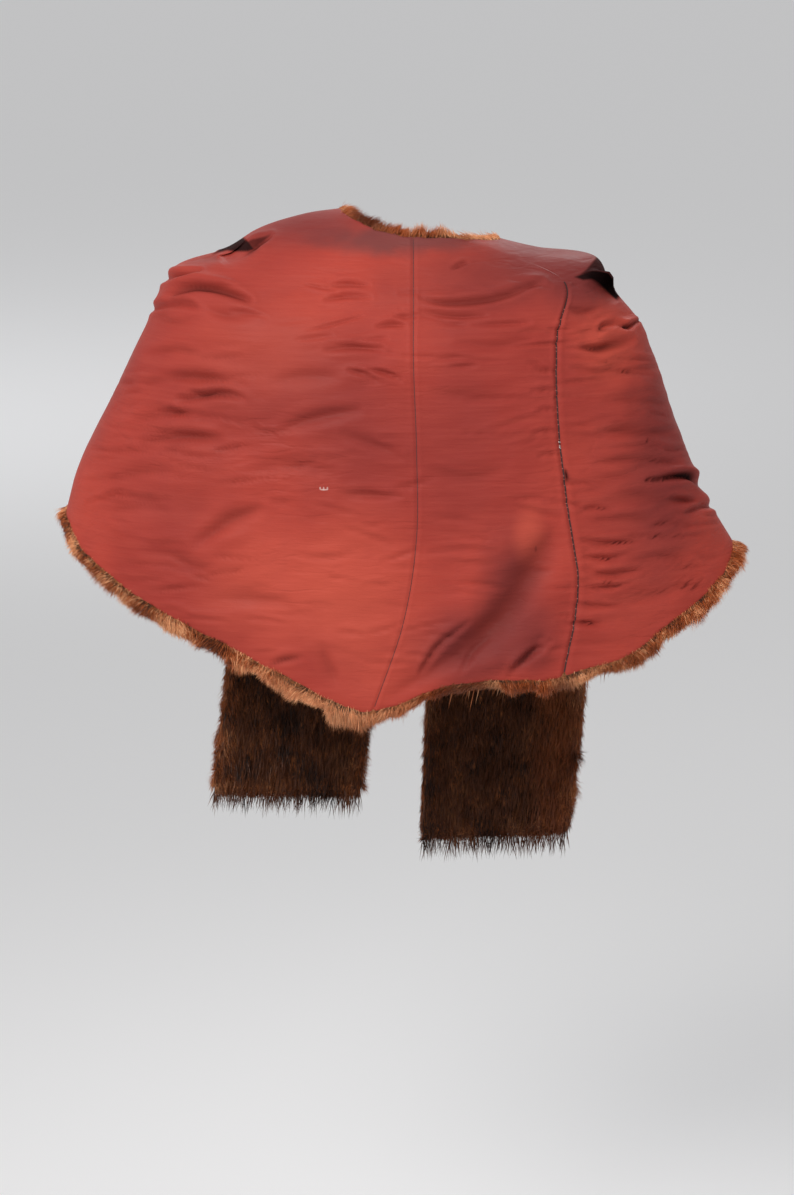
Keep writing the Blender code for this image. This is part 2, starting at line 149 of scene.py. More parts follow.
def ring_point(ring, angle):
    s, c = np.sin(angle), np.cos(angle)
    power = 2.0 / ring["square"]
    middle = (ring["left_x"] + ring["right_x"]) / 2
    half = (ring["right_x"] - ring["left_x"]) / 2
    x = middle + half * np.sign(s) * np.abs(s) ** power
    y = np.where(c >= 0, ring["front_y"], ring["back_y"]) * np.abs(c) ** power
    side = np.where(s >= 0, ring["right_z"], ring["left_z"])
    face = np.where(c >= 0, ring["front_z"], ring["back_z"])
    z = side * s * s + face * c * c
    if ring["name"] == "hem":
        front, rear = np.array(HEM_FRONT, float), np.array(HEM_REAR, float)
        z = np.where(c >= 0, smooth_curve(front[:, 0], front[:, 1], x), smooth_curve(rear[:, 0], rear[:, 1], x))
    return np.stack([x, y, z], -1)


def angle_at(ring, x, rear):
    middle = (ring["left_x"] + ring["right_x"]) / 2
    half = (ring["right_x"] - ring["left_x"]) / 2
    u = np.clip((x - middle) / half, -1, 1)
    a = np.arcsin(np.sign(u) * np.abs(u) ** (ring["square"] / 2.0))
    if not rear:
        return a
    return np.pi - a if x > middle else -np.pi - a


def lay_out():
    """The columns round the garment, as (key, value)."""
    inner = lambda key, n, warp=lambda f: f: [(key, warp(i / n)) for i in range(1, n)]
    to_start, to_end = lambda f: 0.35 * f + 0.65 * f**1.7, lambda f: 1 - (0.35 * (1 - f) + 0.65 * (1 - f) ** 1.7)
    to_both = lambda f: 0.4 * f + 0.6 * (0.5 - 0.5 * math.cos(math.pi * f))
    section = np.array([row[0] for row in FOLD_SECTION])
    many = np.interp(np.linspace(0, len(section) - 1, 64), range(len(section)), section)
    cols = [("edge_left", 0.0), ("edge_left", EDGE)]
    cols += inner("panel_left", 30) + [("tail_left", 0.0), ("tail_left", EDGE)]
    cols += inner("gusset_left", 14, to_end) + [("left_seam", 0.0)] + inner("side_left", 52, to_start)
    cols += [("fold_left", -q) for q in many[::-1]]
    cols += inner("back_left", 108, to_end) + [("back_seam", 0.0)] + inner("back_right", 70, to_both) + [("right_seam", 0.0)]
    cols += inner("arm_right", 22, to_start) + [("fold_right", q) for q in many] + inner("side_right", 60)
    cols += [("tail_right", -EDGE), ("tail_right", 0.0)] + inner("panel_right", 30)
    cols += [("edge_right", -EDGE), ("edge_right", 0.0)]
    return cols


def fold_angle(name, ring_number):
    fold = FOLDS[name]
    share = np.clip((ring_number - fold["first"]) / (fold["last"] - fold["first"]), 0, 1.35)
    turn = np.clip(fold["at_first"] + share * (fold["at_last"] - fold["at_first"]), 0.45, 1.12)
    return (-1 if name == "left" else 1) * turn * np.pi / 2


def ring_columns(number, cols):
    ring, seam = RINGS[number], SEAMS[number]
    first, last = angle_at(ring, seam["open_left"], True), angle_at(ring, seam["open_right"], True)
    angles = np.linspace(first, last, 1441)
    points = ring_point(ring, angles)
    length = np.concatenate([[0], np.cumsum(np.linalg.norm(np.diff(points, axis=0), axis=1))])
    at = lambda angle: float(np.interp(angle, angles, length))
    total = length[-1]
    left_seam = at(angle_at(ring, seam["left_seam"], True))
    back_seam = at(angle_at(ring, seam["back_seam"], False))
    right_seam = at(angle_at(ring, seam["right_seam"], False))
    fold_l, fold_r = at(fold_angle("left", number)), at(fold_angle("right", number))
    hem = RINGS[LAST]
    hem_angles = np.linspace(angle_at(hem, SEAMS[LAST]["open_left"], True), angle_at(hem, SEAMS[LAST]["open_right"], True), 1441)
    hem_points = ring_point(hem, hem_angles)
    hem_length = np.concatenate([[0], np.cumsum(np.linalg.norm(np.diff(hem_points, axis=0), axis=1))])
    hem_at = lambda x: float(np.interp(angle_at(hem, x, True), hem_angles, hem_length))
    share_l = hem_at(PANELS["left"]["outer_x_top"]) / hem_at(SEAMS[LAST]["left_seam"])
    share_r = (hem_length[-1] - hem_at(PANELS["right"]["outer_x_top"])) / (
        hem_length[-1] - float(np.interp(np.pi / 2, hem_angles, hem_length)))
    tail_l = left_seam * share_l
    tail_r = total - (total - at(np.pi / 2)) * share_r
    edge = min(EDGE, 0.1 * left_seam)
    loose_l = min(1.0, max(0.0, (number - FOLDS["left"]["last"]) / 2.0))
    loose_r = min(1.0, max(0.0, (number - FOLDS["right"]["last"]) / 2.0))
    reach_l = min(FOLD_REACH * (1 + 1.2 * loose_l), 0.32 * (fold_l - left_seam), 0.42 * (back_seam - fold_l))
    reach_r = min(FOLD_REACH * (1 + 1.0 * loose_r), 0.70 * (fold_r - right_seam), 0.45 * (tail_r - fold_r))
    section = np.array([row[0] for row in FOLD_SECTION])
    even = lambda q: np.interp(q, section, np.linspace(-1, 1, len(section)))
    spread = lambda q, turn, loose: q + (turn * even(turn * q) - q) * loose
    places = {
        "edge_left": lambda v: v / EDGE * edge,
        "panel_left": lambda v: edge + v * (tail_l - edge * 2),
        "tail_left": lambda v: tail_l - edge + v / EDGE * edge,
        "gusset_left": lambda v: tail_l + v * (left_seam - tail_l),
        "left_seam": lambda v: left_seam,
        "side_left": lambda v: left_seam + v * (fold_l - reach_l - left_seam),
        "fold_left": lambda v: fold_l + spread(v, -1, loose_l) * reach_l,
        "back_left": lambda v: fold_l + reach_l + v * (back_seam - fold_l - reach_l),
        "back_seam": lambda v: back_seam,
        "back_right": lambda v: back_seam + v * (right_seam - back_seam),
        "right_seam": lambda v: right_seam,
        "arm_right": lambda v: right_seam + v * (fold_r - reach_r - right_seam),
        "fold_right": lambda v: fold_r + spread(v, 1, loose_r) * reach_r,
        "side_right": lambda v: fold_r + reach_r + v * (tail_r - fold_r - reach_r),
        "tail_right": lambda v: tail_r + edge + v / EDGE * edge,
        "panel_right": lambda v: tail_r + edge + v * (total - tail_r - 2 * edge),
        "edge_right": lambda v: total + v / EDGE * edge,
    }
    where = np.array([places[key](value) for key, value in cols])
    return np.stack([np.interp(where, length, points[:, k]) for k in range(3)], -1)


def grid_normals(grid):
    down = np.gradient(grid, axis=0)
    along = np.gradient(grid, axis=1)
    return unit(np.cross(down, along))


COLS = lay_out()
KEYS = np.array([c[0] for c in COLS])
ROWS_BODY = np.concatenate([np.linspace(0, 1.9, 48)[:-1], np.linspace(1.9, 3.1, 61)[:-1], np.linspace(3.1, 7, 113)])
rings = np.stack([ring_columns(k, COLS) for k in range(LAST + 1)])
body = smooth_curve(range(LAST + 1), rings, ROWS_BODY)  # rows from the neck down to the hem
TAIL_KEYS = {"left": ("edge_left", "panel_left", "tail_left"), "right": ("tail_right", "panel_right", "edge_right")}
TAIL_ROWS = 44


def tail_rows(name):
    """The long panel below the hem: a grid of points that starts at the hem row."""
    picked = np.flatnonzero(np.isin(KEYS, TAIL_KEYS[name]))
    top = body[-1][picked]
    head = unit(body[-1][picked] - body[-2][picked])
    panel = PANELS[name]
    length = np.concatenate([[0], np.cumsum(np.linalg.norm(np.diff(top, axis=0), axis=1))])
    across = length / length[-1]
    start, end = ("inner", "outer") if name == "left" else ("outer", "inner")
    x_end = panel[start + "_x_end"] + across * (panel[end + "_x_end"] - panel[start + "_x_end"])
    z_end = panel[start + "_z"] + across * (panel[end + "_z"] - panel[start + "_z"])
    finish = np.stack([x_end, np.full_like(x_end, panel["y_end"]), z_end], -1)
    reach = np.linalg.norm(finish - top, axis=-1, keepdims=True)
    rows = []
    for h in np.linspace(0, 1, TAIL_ROWS + 1):
        rows.append(
            (2 * h**3 - 3 * h**2 + 1) * top + (h**3 - 2 * h**2 + h) * head * reach
            + (3 * h**2 - 2 * h**3) * finish + (h**3 - h**2) * unit(finish - top) * reach
        )
    return picked, np.stack(rows)


# ======================================================================================================
# Creases. Those of the front are placed in the front view: u to the right and v up, in millimetres at the
# middle of the neck, seen from the camera's height. Those of the rear are placed in x and z.
# ======================================================================================================
CAMERA_MM = (-5.0, -3027.3, 371.7)
CAMERA_DOWN = math.radians(13.5)
CAMERA_SCALE = 3030.0  # pixels of a 794 x 1195 view for each unit of slope
VIEW_U0, VIEW_V0 = -5.0, 347.5  # the view's middle in u, and how far it is under v = 0


def front_view(p):
    d = p - np.array(CAMERA_MM)
    far = d[..., 1] * math.cos(CAMERA_DOWN) - d[..., 2] * math.sin(CAMERA_DOWN)
    up = d[..., 1] * math.sin(CAMERA_DOWN) + d[..., 2] * math.cos(CAMERA_DOWN)
    return np.stack([VIEW_U0 + CAMERA_SCALE * d[..., 0] / far, -VIEW_V0 + CAMERA_SCALE * up / far], -1)


CREASE_COLUMNS = ("name", "path", "width", "depth", "lip")
FRONT_CREASES = [
    # left shoulder
    ("shoulder deep", ((-232, -46), (-216, -38), (-202, -35), (-180, -38), (-154, -49)), 6.0, 8.0, 0.40),
    ("shoulder upper", ((-256, -36), (-232, -27), (-216, -23), (-202, -18)), 3.6, 5.5, 0.50),
    ("shoulder lower", ((-262, -62), (-232, -55), (-216, -54), (-204, -57)), 4.5, 4.5, 0.45),
    ("shoulder front", ((-196, -58), (-176, -64), (-150, -66)), 7.0, 3.0, 0.30),
    ("mouth crease", ((-160, -2), (-148, 5), (-132, 14)), 4.5, 6.0, 0.50),
    # left side
    ("side 1", ((-254, -104), (-228, -100), (-206, -103)), 6.0, 3.0, 0.30),
    ("side 2", ((-256, -134), (-222, -127), (-190, -128), (-160, -134)), 7.0, 4.5, 0.40),
    ("side 3", ((-222, -151), (-192, -144), (-176, -143), (-158, -148)), 5.5, 6.5, 0.45),
    ("side 4", ((-270, -172), (-240, -164), (-214, -166)), 7.0, 3.5, 0.30),
    ("side 5", ((-262, -193), (-220, -186), (-184, -189)), 6.5, 5.0, 0.40),
    ("side 6", ((-290, -228), (-256, -220), (-224, -224)), 8.0, 3.5, 0.30),
    ("side 7", ((-292, -262), (-262, -256), (-236, -260)), 7.0, 2.5, 0.30),
    ("side slant", ((-206, -296), (-176, -272), (-142, -258)), 9.0, 5.0, 0.35),
    ("side low", ((-262, -300), (-228, -306), (-196, -322)), 11.0, 3.0, 0.30),
    # between the left side and the centre-back seam
    ("chest 1", ((-74, -36), (-54, -34), (-34, -35)), 3.8, 3.0, 0.40),
    ("chest 2", ((-76, -49), (-54, -46), (-32, -47)), 3.8, 3.2, 0.40),
    ("chest 3", ((-24, -76), (-10, -74), (2, -75)), 3.6, 2.6, 0.40),
    ("chest 4", ((-76, -100), (-48, -97), (-20, -98)), 4.6, 3.0, 0.40),
    ("chest 5", ((-53, -120), (-38, -124), (-24, -130)), 3.4, 3.4, 0.45),
    ("chest 6", ((-33, -120), (-16, -123), (0, -130)), 3.2, 3.2, 0.45),
    ("chest 7", ((-118, -178), (-84, -167), (-44, -160)), 8.0, 4.5, 0.35),
    ("chest 8", ((-56, -186), (-30, -194), (-4, -205)), 7.5, 3.5, 0.35),
    ("chest 9", ((-130, -132), (-98, -126), (-66, -128)), 9.0, 2.6, 0.30),
    ("chest 10", ((-150, -220), (-110, -214), (-70, -222)), 11.0, 3.0, 0.30),
    ("chest 11", ((-60, -248), (-34, -244), (-8, -250)), 8.0, 2.2, 0.30),
    # right of the centre-back seam
    ("yoke long", ((19, -48), (47, -53), (91, -48), (122, -38), (140, -30)), 4.6, 4.2, 0.45),
    ("yoke short", ((20, -61), (48, -66), (84, -66)), 4.0, 2.8, 0.40),
    ("yoke nick", ((50, -19), (58, -15), (66, -12)), 2.8, 3.0, 0.40),
    ("yoke low", ((60, -92), (92, -96), (128, -90)), 9.0, 2.6, 0.30),
    ("middle 1", ((34, -142), (70, -146), (112, -140)), 9.0, 2.2, 0.30),
    ("middle 2", ((30, -222), (66, -228), (104, -220)), 10.0, 2.4, 0.30),
    # right shoulder
    ("arm 1", ((196, -84), (201, -76), (212, -73), (222, -74)), 3.6, 4.0, 0.45),
    ("arm 2", ((218, -76), (225, -77), (232, -75)), 3.4, 4.5, 0.30),
    ("arm 3", ((224, -77), (230, -74), (236, -72)), 2.4, 2.6, 0.40),
    ("arm swell", ((218, -46), (232, -62), (241, -76), (246, -88)), 8.0, -3.8, 0.0),
    ("shoulder flat", ((-224, -8), (-206, -2), (-186, 3), (-164, 10)), 12.0, 5.0, 0.0),
    ("arm 4", ((182, -96), (196, -98), (210, -94), (228, -91)), 6.0, 7.0, 0.40),
    ("arm 5", ((168, -58), (182, -62), (196, -60)), 4.5, 3.0, 0.30),
    # right side
    ("right 1", ((196, -124), (224, -120), (252, -124)), 7.5, 2.4, 0.35),
    ("right 2", ((206, -150), (234, -148), (262, -152)), 8.0, 3.2, 0.35),
    ("right 3", ((186, -172), (208, -170), (230, -174)), 4.0, 2.0, 0.35),
    ("right 4", ((200, -182), (236, -180), (270, -186)), 7.5, 3.8, 0.40),
    ("right 5", ((214, -197), (246, -196), (276, -203)), 3.6, 2.6, 0.40),
    ("right 6", ((196, -212), (236, -209), (276, -212)), 5.2, 3.6, 0.45),
    ("right crescent", ((244, -230), (262, -228), (276, -226), (290, -228), (304, -240)), 4.4, 7.5, 0.55),
    ("right 7", ((208, -250), (246, -247), (290, -250)), 7.5, 3.0, 0.35),
    ("right 8", ((286, -262), (302, -256), (318, -256)), 4.0, 4.5, 0.40),
    ("right 9", ((196, -270), (232, -268), (262, -274)), 5.0, 2.6, 0.40),
    ("right 11", ((178, -262), (192, -258), (210, -262)), 3.6, 3.2, 0.45),
    ("right 12", ((252, -276), (268, -272), (288, -276)), 4.0, 3.0, 0.45),
    ("right 10", ((240, -307), (262, -306), (284, -308)), 5.0, 3.2, 0.40),
    # puckers of the hand-felled right seam
    ("pucker 1", ((132, -119), (143, -121), (154, -121)), 2.8, 2.6, 0.50),
    ("pucker 2", ((129, -142), (142, -140), (154, -140)), 2.8, 2.8, 0.50),
    ("pucker 3", ((134, -160), (144, -159), (155, -160)), 2.6, 2.6, 0.50),
    ("pucker 4", ((130, -184), (143, -181), (156, -181)), 3.0, 3.0, 0.50),
    ("pucker 5", ((136, -207), (147, -204), (158, -204)), 2.8, 2.8, 0.50),
    ("pucker 6", ((180, -290), (204, -293), (238, -291)), 4.0, 4.5, 0.50),
    ("pucker 7", ((181, -306), (200, -309), (222, -308)), 3.6, 3.6, 0.50),
    ("pucker 8", ((181, -320), (206, -324), (240, -320)), 4.2, 4.4, 0.50),
    ("pucker 9", ((180, -337), (200, -338), (226, -334)), 3.6, 3.8, 0.50),
    ("pucker 10", ((178, -353), (196, -356), (218, -355)), 4.0, 3.6, 0.50),
    ("pucker 11", ((176, -371), (190, -374), (208, -378)), 3.8, 3.2, 0.50),
    # low down
    ("low valley", ((150, -286), (128, -322), (100, -362), (62, -404)), 22.0, 9.0, 0.30),
    ("low valley 2", ((118, -352), (74, -392), (26, -424), (-10, -446)), 15.0, 4.5, 0.30),
    ("low slant", ((140, -388), (128, -404), (116, -424)), 8.0, 4.5, 0.35),
    ("low fold 1", ((18, -424), (36, -396), (66, -372)), 4.2, 3.6, 0.50),
    ("low fold 2", ((102, -436), (120, -410), (148, -392)), 4.2, 4.2, 0.50),
    ("low fold 3", ((58, -424), (70, -404), (88, -388)), 3.6, 2.8, 0.50),
    ("low left", ((-134, -416), (-118, -410), (-100, -407)), 4.5, 2.8, 0.40),
    ("low left 2", ((-80, -398), (-74, -414), (-66, -432)), 8.0, 3.0, 0.30),
    ("low middle", ((-190, -350), (-150, -348), (-112, -356)), 12.0, 2.6, 0.25),
    ("low right", ((220, -352), (252, -346), (284, -334)), 9.0, 3.0, 0.30),
]
# the darkest lines, where a crease closes on itself; depth here is how dark, of 1
FRONT_SHADOWS = [
    ("crescent", ((246, -229), (262, -228), (276, -225), (285, -226)), 2.6, 0.60, 0.0),
    ("crescent end", ((276, -225), (284, -225), (290, -228), (294, -234)), 4.2, 1.10, 0.0),
    ("arm spot", ((222, -75), (225, -77), (229, -76)), 2.8, 0.90, 0.0),
    ("arm line", ((227, -76), (234, -72), (241, -70)), 1.9, 0.55, 0.0),
    ("arm bow", ((198, -74), (199, -81), (206, -80)), 2.2, 0.35, 0.0),
    ("arm trough", ((180, -97), (196, -99), (212, -96), (226, -92)), 5.5, 0.34, 0.0),
    ("shoulder trough", ((-228, -44), (-214, -38), (-200, -36), (-182, -39), (-160, -47)), 5.5, 0.46, 0.0),
    ("shoulder nick", ((-228, -26), (-216, -24), (-204, -19)), 2.4, 0.34, 0.0),
    ("mouth trough", ((-156, 0), (-148, 5), (-134, 13)), 5.5, 0.55, 0.0),
    ("side trough", ((-214, -149), (-190, -144), (-166, -146)), 4.6, 0.24, 0.0),
    ("yoke trough", ((20, -49), (50, -53), (88, -50), (118, -41)), 3.6, 0.20, 0.0),
    ("seam gap", ((163, -219), (164.5, -226), (166, -233)), 2.2, 0.95, 0.0),
    ("low left", ((-132, -415), (-118, -410), (-104, -408)), 2.6, 0.40, 0.0),
]
# outlines, in the same view, of the near-black painted shadow inside the mouth of each shoulder fold; "deep" is painted
# darkest
FOLD_MOUTH_SHADOWS = [
    ("dim", ((178, -25), (185, -19), (194, -8), (199, -3), (208, -8), (214, -24), (217, -42), (204, -30), (190, -24))),
    ("deep", ((173, -27), (181, -23.5), (191, -20), (202, -26), (211, -36), (217, -46), (206, -38), (192, -29), (181, -30))),
    ("deep", ((-189, -4), (-177, 5), (-168, 12), (-160, 13.5), (-153, 8), (-147, 1), (-154, -1.5), (-166, -1.5), (-175, -0.5))),
    ("half", ((-156, 8), (-149, 11), (-140, 13), (-131, 15.5), (-139, 8), (-146, 2.5), (-153, 1))),
]
REAR_CREASES = [  # x, z, seen from behind
    ("rear left 1", ((-212, -96), (-176, -92), (-140, -98)), 7.0, 5.0, 0.40),
    ("rear left 2", ((-236, -150), (-196, -142), (-158, -146)), 7.0, 5.5, 0.40),
    ("rear left 3", ((-262, -206), (-220, -200), (-176, -206)), 8.0, 4.5, 0.35),
    ("rear left 4", ((-286, -258), (-244, -252), (-206, -262)), 8.0, 4.0, 0.35),
    ("rear left 5", ((-132, -176), (-96, -170), (-60, -176)), 9.0, 3.5, 0.30),
    ("rear left 6", ((-140, -300), (-104, -292), (-64, -298)), 11.0, 3.5, 0.30),
    ("rear left 7", ((-112, -110), (-84, -104), (-58, -108)), 5.0, 3.5, 0.40),
    ("rear left panel", ((-160, -470), (-122, -462), (-84, -468)), 9.0, 3.0, 0.30),
    ("rear left panel 2", ((-148, -544), (-112, -538), (-80, -546)), 8.0, 2.5, 0.30),
    ("rear right 1", ((146, -92), (178, -88), (206, -94)), 6.0, 5.5, 0.40),
    ("rear right 2", ((164, -134), (200, -130), (234, -138)), 7.0, 5.5, 0.40),
    ("rear right 3", ((176, -186), (218, -180), (256, -188)), 7.0, 5.0, 0.40),
    ("rear right 4", ((186, -240), (230, -232), (276, -242)), 8.0, 5.0, 0.40),
    ("rear right 5", ((204, -294), (244, -286), (286, -292)), 8.0, 4.0, 0.35),
    ("rear right 6", ((74, -152), (108, -146), (142, -152)), 8.0, 3.5, 0.30),
    ("rear right 7", ((82, -262), (120, -256), (156, -264)), 10.0, 3.5, 0.30),
    ("rear right 8", ((70, -360), (104, -352), (140, -358)), 10.0, 3.0, 0.30),
    ("rear right panel", ((70, -452), (106, -446), (146, -452)), 9.0, 3.0, 0.30),
    ("rear right panel 2", ((64, -560), (98, -552), (140, -560)), 8.0, 2.5, 0.30),
]


def crease_depth(at, table):
    """How far in (below 0) or out each point lies, for points given in the table's own view."""
    moved = np.zeros(len(at))
    for row in table:
        crease = dict(zip(CREASE_COLUMNS, row))
        path = np.array(crease["path"], float)
        knots = np.arange(len(path))
        fine = smooth_curve(knots, path, np.linspace(0, len(path) - 1, 40))
        reach = crease["width"] * 4
        low, high = fine.min(0) - reach, fine.max(0) + reach
        near = np.flatnonzero(((at > low) & (at < high)).all(1))
        if not len(near):
            continue
        q = at[near]
        a, b = fine[:-1], fine[1:]
        ab = b - a
        t = np.clip(((q[:, None] - a) * ab).sum(-1) / (ab**2).sum(-1), 0, 1)
        gap = q[:, None] - (a + t[..., None] * ab)
        k = np.argmin((gap**2).sum(-1), 1)
        pick = np.arange(len(q))
        gap, t = gap[pick, k], t[pick, k]
        side = ab[k, 0] * gap[:, 1] - ab[k, 1] * gap[:, 0]
        s = np.hypot(gap[:, 0], gap[:, 1]) * np.sign(side) / crease["width"]
        along = (k + t) / len(a)
        taper = np.sin(np.pi * np.clip(0.06 + 0.88 * along, 0, 1)) ** 0.7
        narrow = 0.55 + 0.45 * taper
        s = s / narrow
        trough = -np.exp(-(np.abs(s) ** 1.5) * 1.7)
        lip = crease["lip"] * (np.exp(-((s - 1.5) ** 2) * 1.1) + 0.7 * np.exp(-((s + 1.6) ** 2) * 1.1))
        moved[near] += crease["depth"] * 1.25 * taper * (trough + lip)
    return moved


def crinkles(count, u_range, v_range, seed):
    """A table of faint short creases, much as taffeta keeps them, for the stretches between the main ones."""
    own = np.random.default_rng(seed)
    rows = []
    for i in range(count):
        u, v = own.uniform(*u_range), own.uniform(*v_range)
        half, slope, sag = own.uniform(9, 34), own.normal(-0.02, 0.14), own.normal(0, 0.05)
        path = tuple((u + half * t, v + half * (slope * t + sag * (t * t - 0.5))) for t in (-1, -0.3, 0.3, 1))
        rows.append(("crinkle", path, own.uniform(2.0, 4.4), own.uniform(0.6, 2.1), 0.45))
    return rows


def ripples(p):
    """Faint uneven ripples that run mostly round the garment."""
    out = np.zeros(p.shape[:-1])
    for i in range(9):
        wave = rng.uniform(22, 75)
        tilt = rng.uniform(-0.35, 0.35)
        bend = rng.uniform(60, 140)
        phase, phase2 = rng.uniform(0, 2 * np.pi, 2)
        run = p[..., 2] + tilt * p[..., 0] + 6 * np.sin(p[..., 0] / bend + phase2)
        fade = 0.5 + 0.5 * np.sin(p[..., 0] / (bend * 1.3) + p[..., 1] / 90 + phase * 2)
        out += fade * np.sin(2 * np.pi * run / wave + phase) * wave / 75 * 0.62
    return out


def fold_height(name, row):
    fold = FOLDS[name]
    share = (row - fold["first"]) / (fold["last"] - fold["first"])
    places, opened, raised = FOLD_OPENS[name]
    return np.interp(share, places, opened), np.interp(share, places, raised)


def shoulder_folds(grid, normals):
    """The gaping fold at the tip of each shoulder."""
    moved = np.zeros_like(grid)
    along = unit(np.gradient(grid, axis=1))
    upright = unit(normals * np.array([1.0, 0.25, 1.0]))
    section = np.array(FOLD_SECTION)
    knots = np.arange(len(section))
    for name in ("left", "right"):
        turn, fold = (-1 if name == "left" else 1), FOLDS[name]
        picked = np.flatnonzero(KEYS == "fold_" + name)
        q = np.interp([turn * COLS[i][1] for i in picked], section[:, 0], knots)
        shift, out, low = (smooth_curve(knots, section[:, k], q) for k in (1, 2, 3))
        opened, raised = (v[:, None] for v in fold_height(name, ROWS_BODY))
        rise = raised * fold["height"] * out[None] - opened * fold["dip"] * low[None]
        moved[:, picked] = along[:, picked] * (opened * fold["height"] * fold["draw"] * turn * shift[None])[..., None] + upright[:, picked] * rise[..., None]
    return moved


normals = grid_normals(body)
NEAR_FOLD = np.zeros(body.shape[:2])
for side in ("left", "right"):
    lift = fold_height(side, ROWS_BODY)[0]
    NEAR_FOLD[:, KEYS == "fold_" + side] = lift[:, None]
view = front_view(body)
front = np.clip(0.5 - body[..., 1] / 60.0, 0, 1)
rear = 1 - front
depth = np.zeros(body.shape[:2])
depth += (crease_depth(view.reshape(-1, 2), FRONT_CREASES).reshape(depth.shape)) * np.clip(front * 1.6, 0, 1)
depth += (crease_depth(body[..., [0, 2]].reshape(-1, 2), REAR_CREASES).reshape(depth.shape)) * np.clip(rear * 1.6 - 0.6, 0, 1)
fine_front = crinkles(190, (-300, 320), (-420, -30), 41) + crinkles(70, (170, 320), (-370, -100), 42) + crinkles(50, (-300, -150), (-340, -60), 43)
fine_rear = crinkles(150, (-310, 310), (-380, -70), 44)
facing = np.clip((np.abs(normals[..., 1]) - 0.05) / 0.45, 0.12, 1)
depth += (crease_depth(view.reshape(-1, 2), fine_front).reshape(depth.shape)) * np.clip(front * 1.6, 0, 1) * facing
depth += (crease_depth(body[..., [0, 2]].reshape(-1, 2), fine_rear).reshape(depth.shape)) * np.clip(rear * 1.6 - 0.6, 0, 1) * facing
depth += ripples(body) * facing
edge_fade = np.clip(np.minimum(ROWS_BODY / 0.35, (7 - ROWS_BODY) / 0.25), 0.15, 1)[:, None]
depth *= edge_fade * (1 - 0.8 * np.clip(NEAR_FOLD * 2, 0, 1))
depth = np.where(depth < 0, -12 * np.tanh(-depth / 12), depth)
# painted shade: the lining's colour darkens in the crease troughs, more the deeper they are
painted_trough_shade = np.clip(-depth / 9.0, 0, 1) ** 1.2
# the seams lie a little in, with a soft roll on each side
for key, deep, wide in (("back_seam", 0.8, 1.8), ("right_seam", 1.6, 2.4), ("left_seam", 1.0, 2.0)):
    middle = np.flatnonzero(KEYS == key)[0]
    run = np.linalg.norm(body - body[:, middle : middle + 1], axis=-1)
    shown = np.clip((ROWS_BODY - 1.95) / 0.4, 0, 1)[:, None] if key == "right_seam" else 1.0
    depth += shown * (-deep * np.exp(-((run / wide) ** 2)) + 0.35 * deep * np.exp(-(((run - 2.2 * wide) / wide) ** 2)))
formed = body + normals * depth[..., None] + shoulder_folds(body, normals)
# the left shoulder lies flatter behind its fold
formed[..., 2] -= 6.5 * np.exp(-(((body[..., 0] + 178) / 26) ** 2) - ((body[..., 1] - 10) / 75) ** 2)
# painted shadow: the inner wall of the right shoulder fold, near and past its lip, and the crease lines of
# FRONT_SHADOWS are painted near black on the lining
painted_deep_shadow = np.zeros(body.shape[:2])
for side in ("left", "right"):
    turn = -1 if side == "left" else 1
    picked = np.flatnonzero(KEYS == "fold_" + side)
    q = np.array([turn * COLS[i][1] for i in picked])
    low = np.array([-0.12, -0.07, -0.03] if side == "left" else [-0.22, -0.14, -0.10])
    near_lip = np.interp(q, [*low, 0.085, 0.12, 0.15], [0, 0.5, 1.0, 1.0, 0.5, 0])
    past_lip = np.interp(q, [*low, 0.26, 0.34, 0.42], [0, 0.5, 1.0, 1.0, 0.6, 0])
    share = (ROWS_BODY - FOLDS[side]["first"]) / (FOLDS[side]["last"] - FOLDS[side]["first"])
    end = np.clip((share - FOLDS[side]["lip_end"]) / 0.07, 0, 1)[:, None]
    opened = np.clip(fold_height(side, ROWS_BODY)[0] * 5, 0, 1)[:, None]
    if side == "right":
        painted_deep_shadow[:, picked] = (near_lip[None] * (1 - end) + past_lip[None] * end) * opened
shadow = np.clip(-crease_depth(view.reshape(-1, 2), FRONT_SHADOWS).reshape(depth.shape), 0, 1) * (front > 0.3)
painted_deep_shadow = np.maximum(painted_deep_shadow, shadow)


def within(at, outline, soft=1.6):
    """1 inside an outline and 0 outside it, for points in the same view."""
    path = np.array(outline, float)
    a, b = path, np.roll(path, -1, axis=0)
    near = np.flatnonzero(((at > path.min(0) - 4) & (at < path.max(0) + 4)).all(1))
    q = at[near][:, None]
    ab = b - a
    t = np.clip(((q - a) * ab).sum(-1) / (ab**2).sum(-1), 0, 1)
    gap = np.sqrt((((q - a) - t[..., None] * ab) ** 2).sum(-1)).min(1)
    cross = (a[:, 1] > q[..., 1]) != (b[:, 1] > q[..., 1])
    level = np.where(np.abs(ab[:, 1]) < 1e-6, 1e-6, ab[:, 1])
    odd = (cross & (q[..., 0] < a[:, 0] + ab[:, 0] * (q[..., 1] - a[:, 1]) / level)).sum(1) % 2
    out = np.zeros(len(at))
    out[near] = np.clip(0.5 + np.where(odd == 1, gap, -gap) / soft, 0, 1)
    return out


# painted shadow: inside each fold mouth's outline the lining is painted near black
seen = front_view(formed).reshape(-1, 2)
for how, outline in FOLD_MOUTH_SHADOWS:
    mask = within(seen, outline, 2.2).reshape(depth.shape) * np.clip((20 - formed[..., 1]) / 9, 0, 1)
    painted_deep_shadow = np.maximum(painted_deep_shadow, {"deep": 0.97, "dim": 0.86, "half": 0.72}[how] * mask)



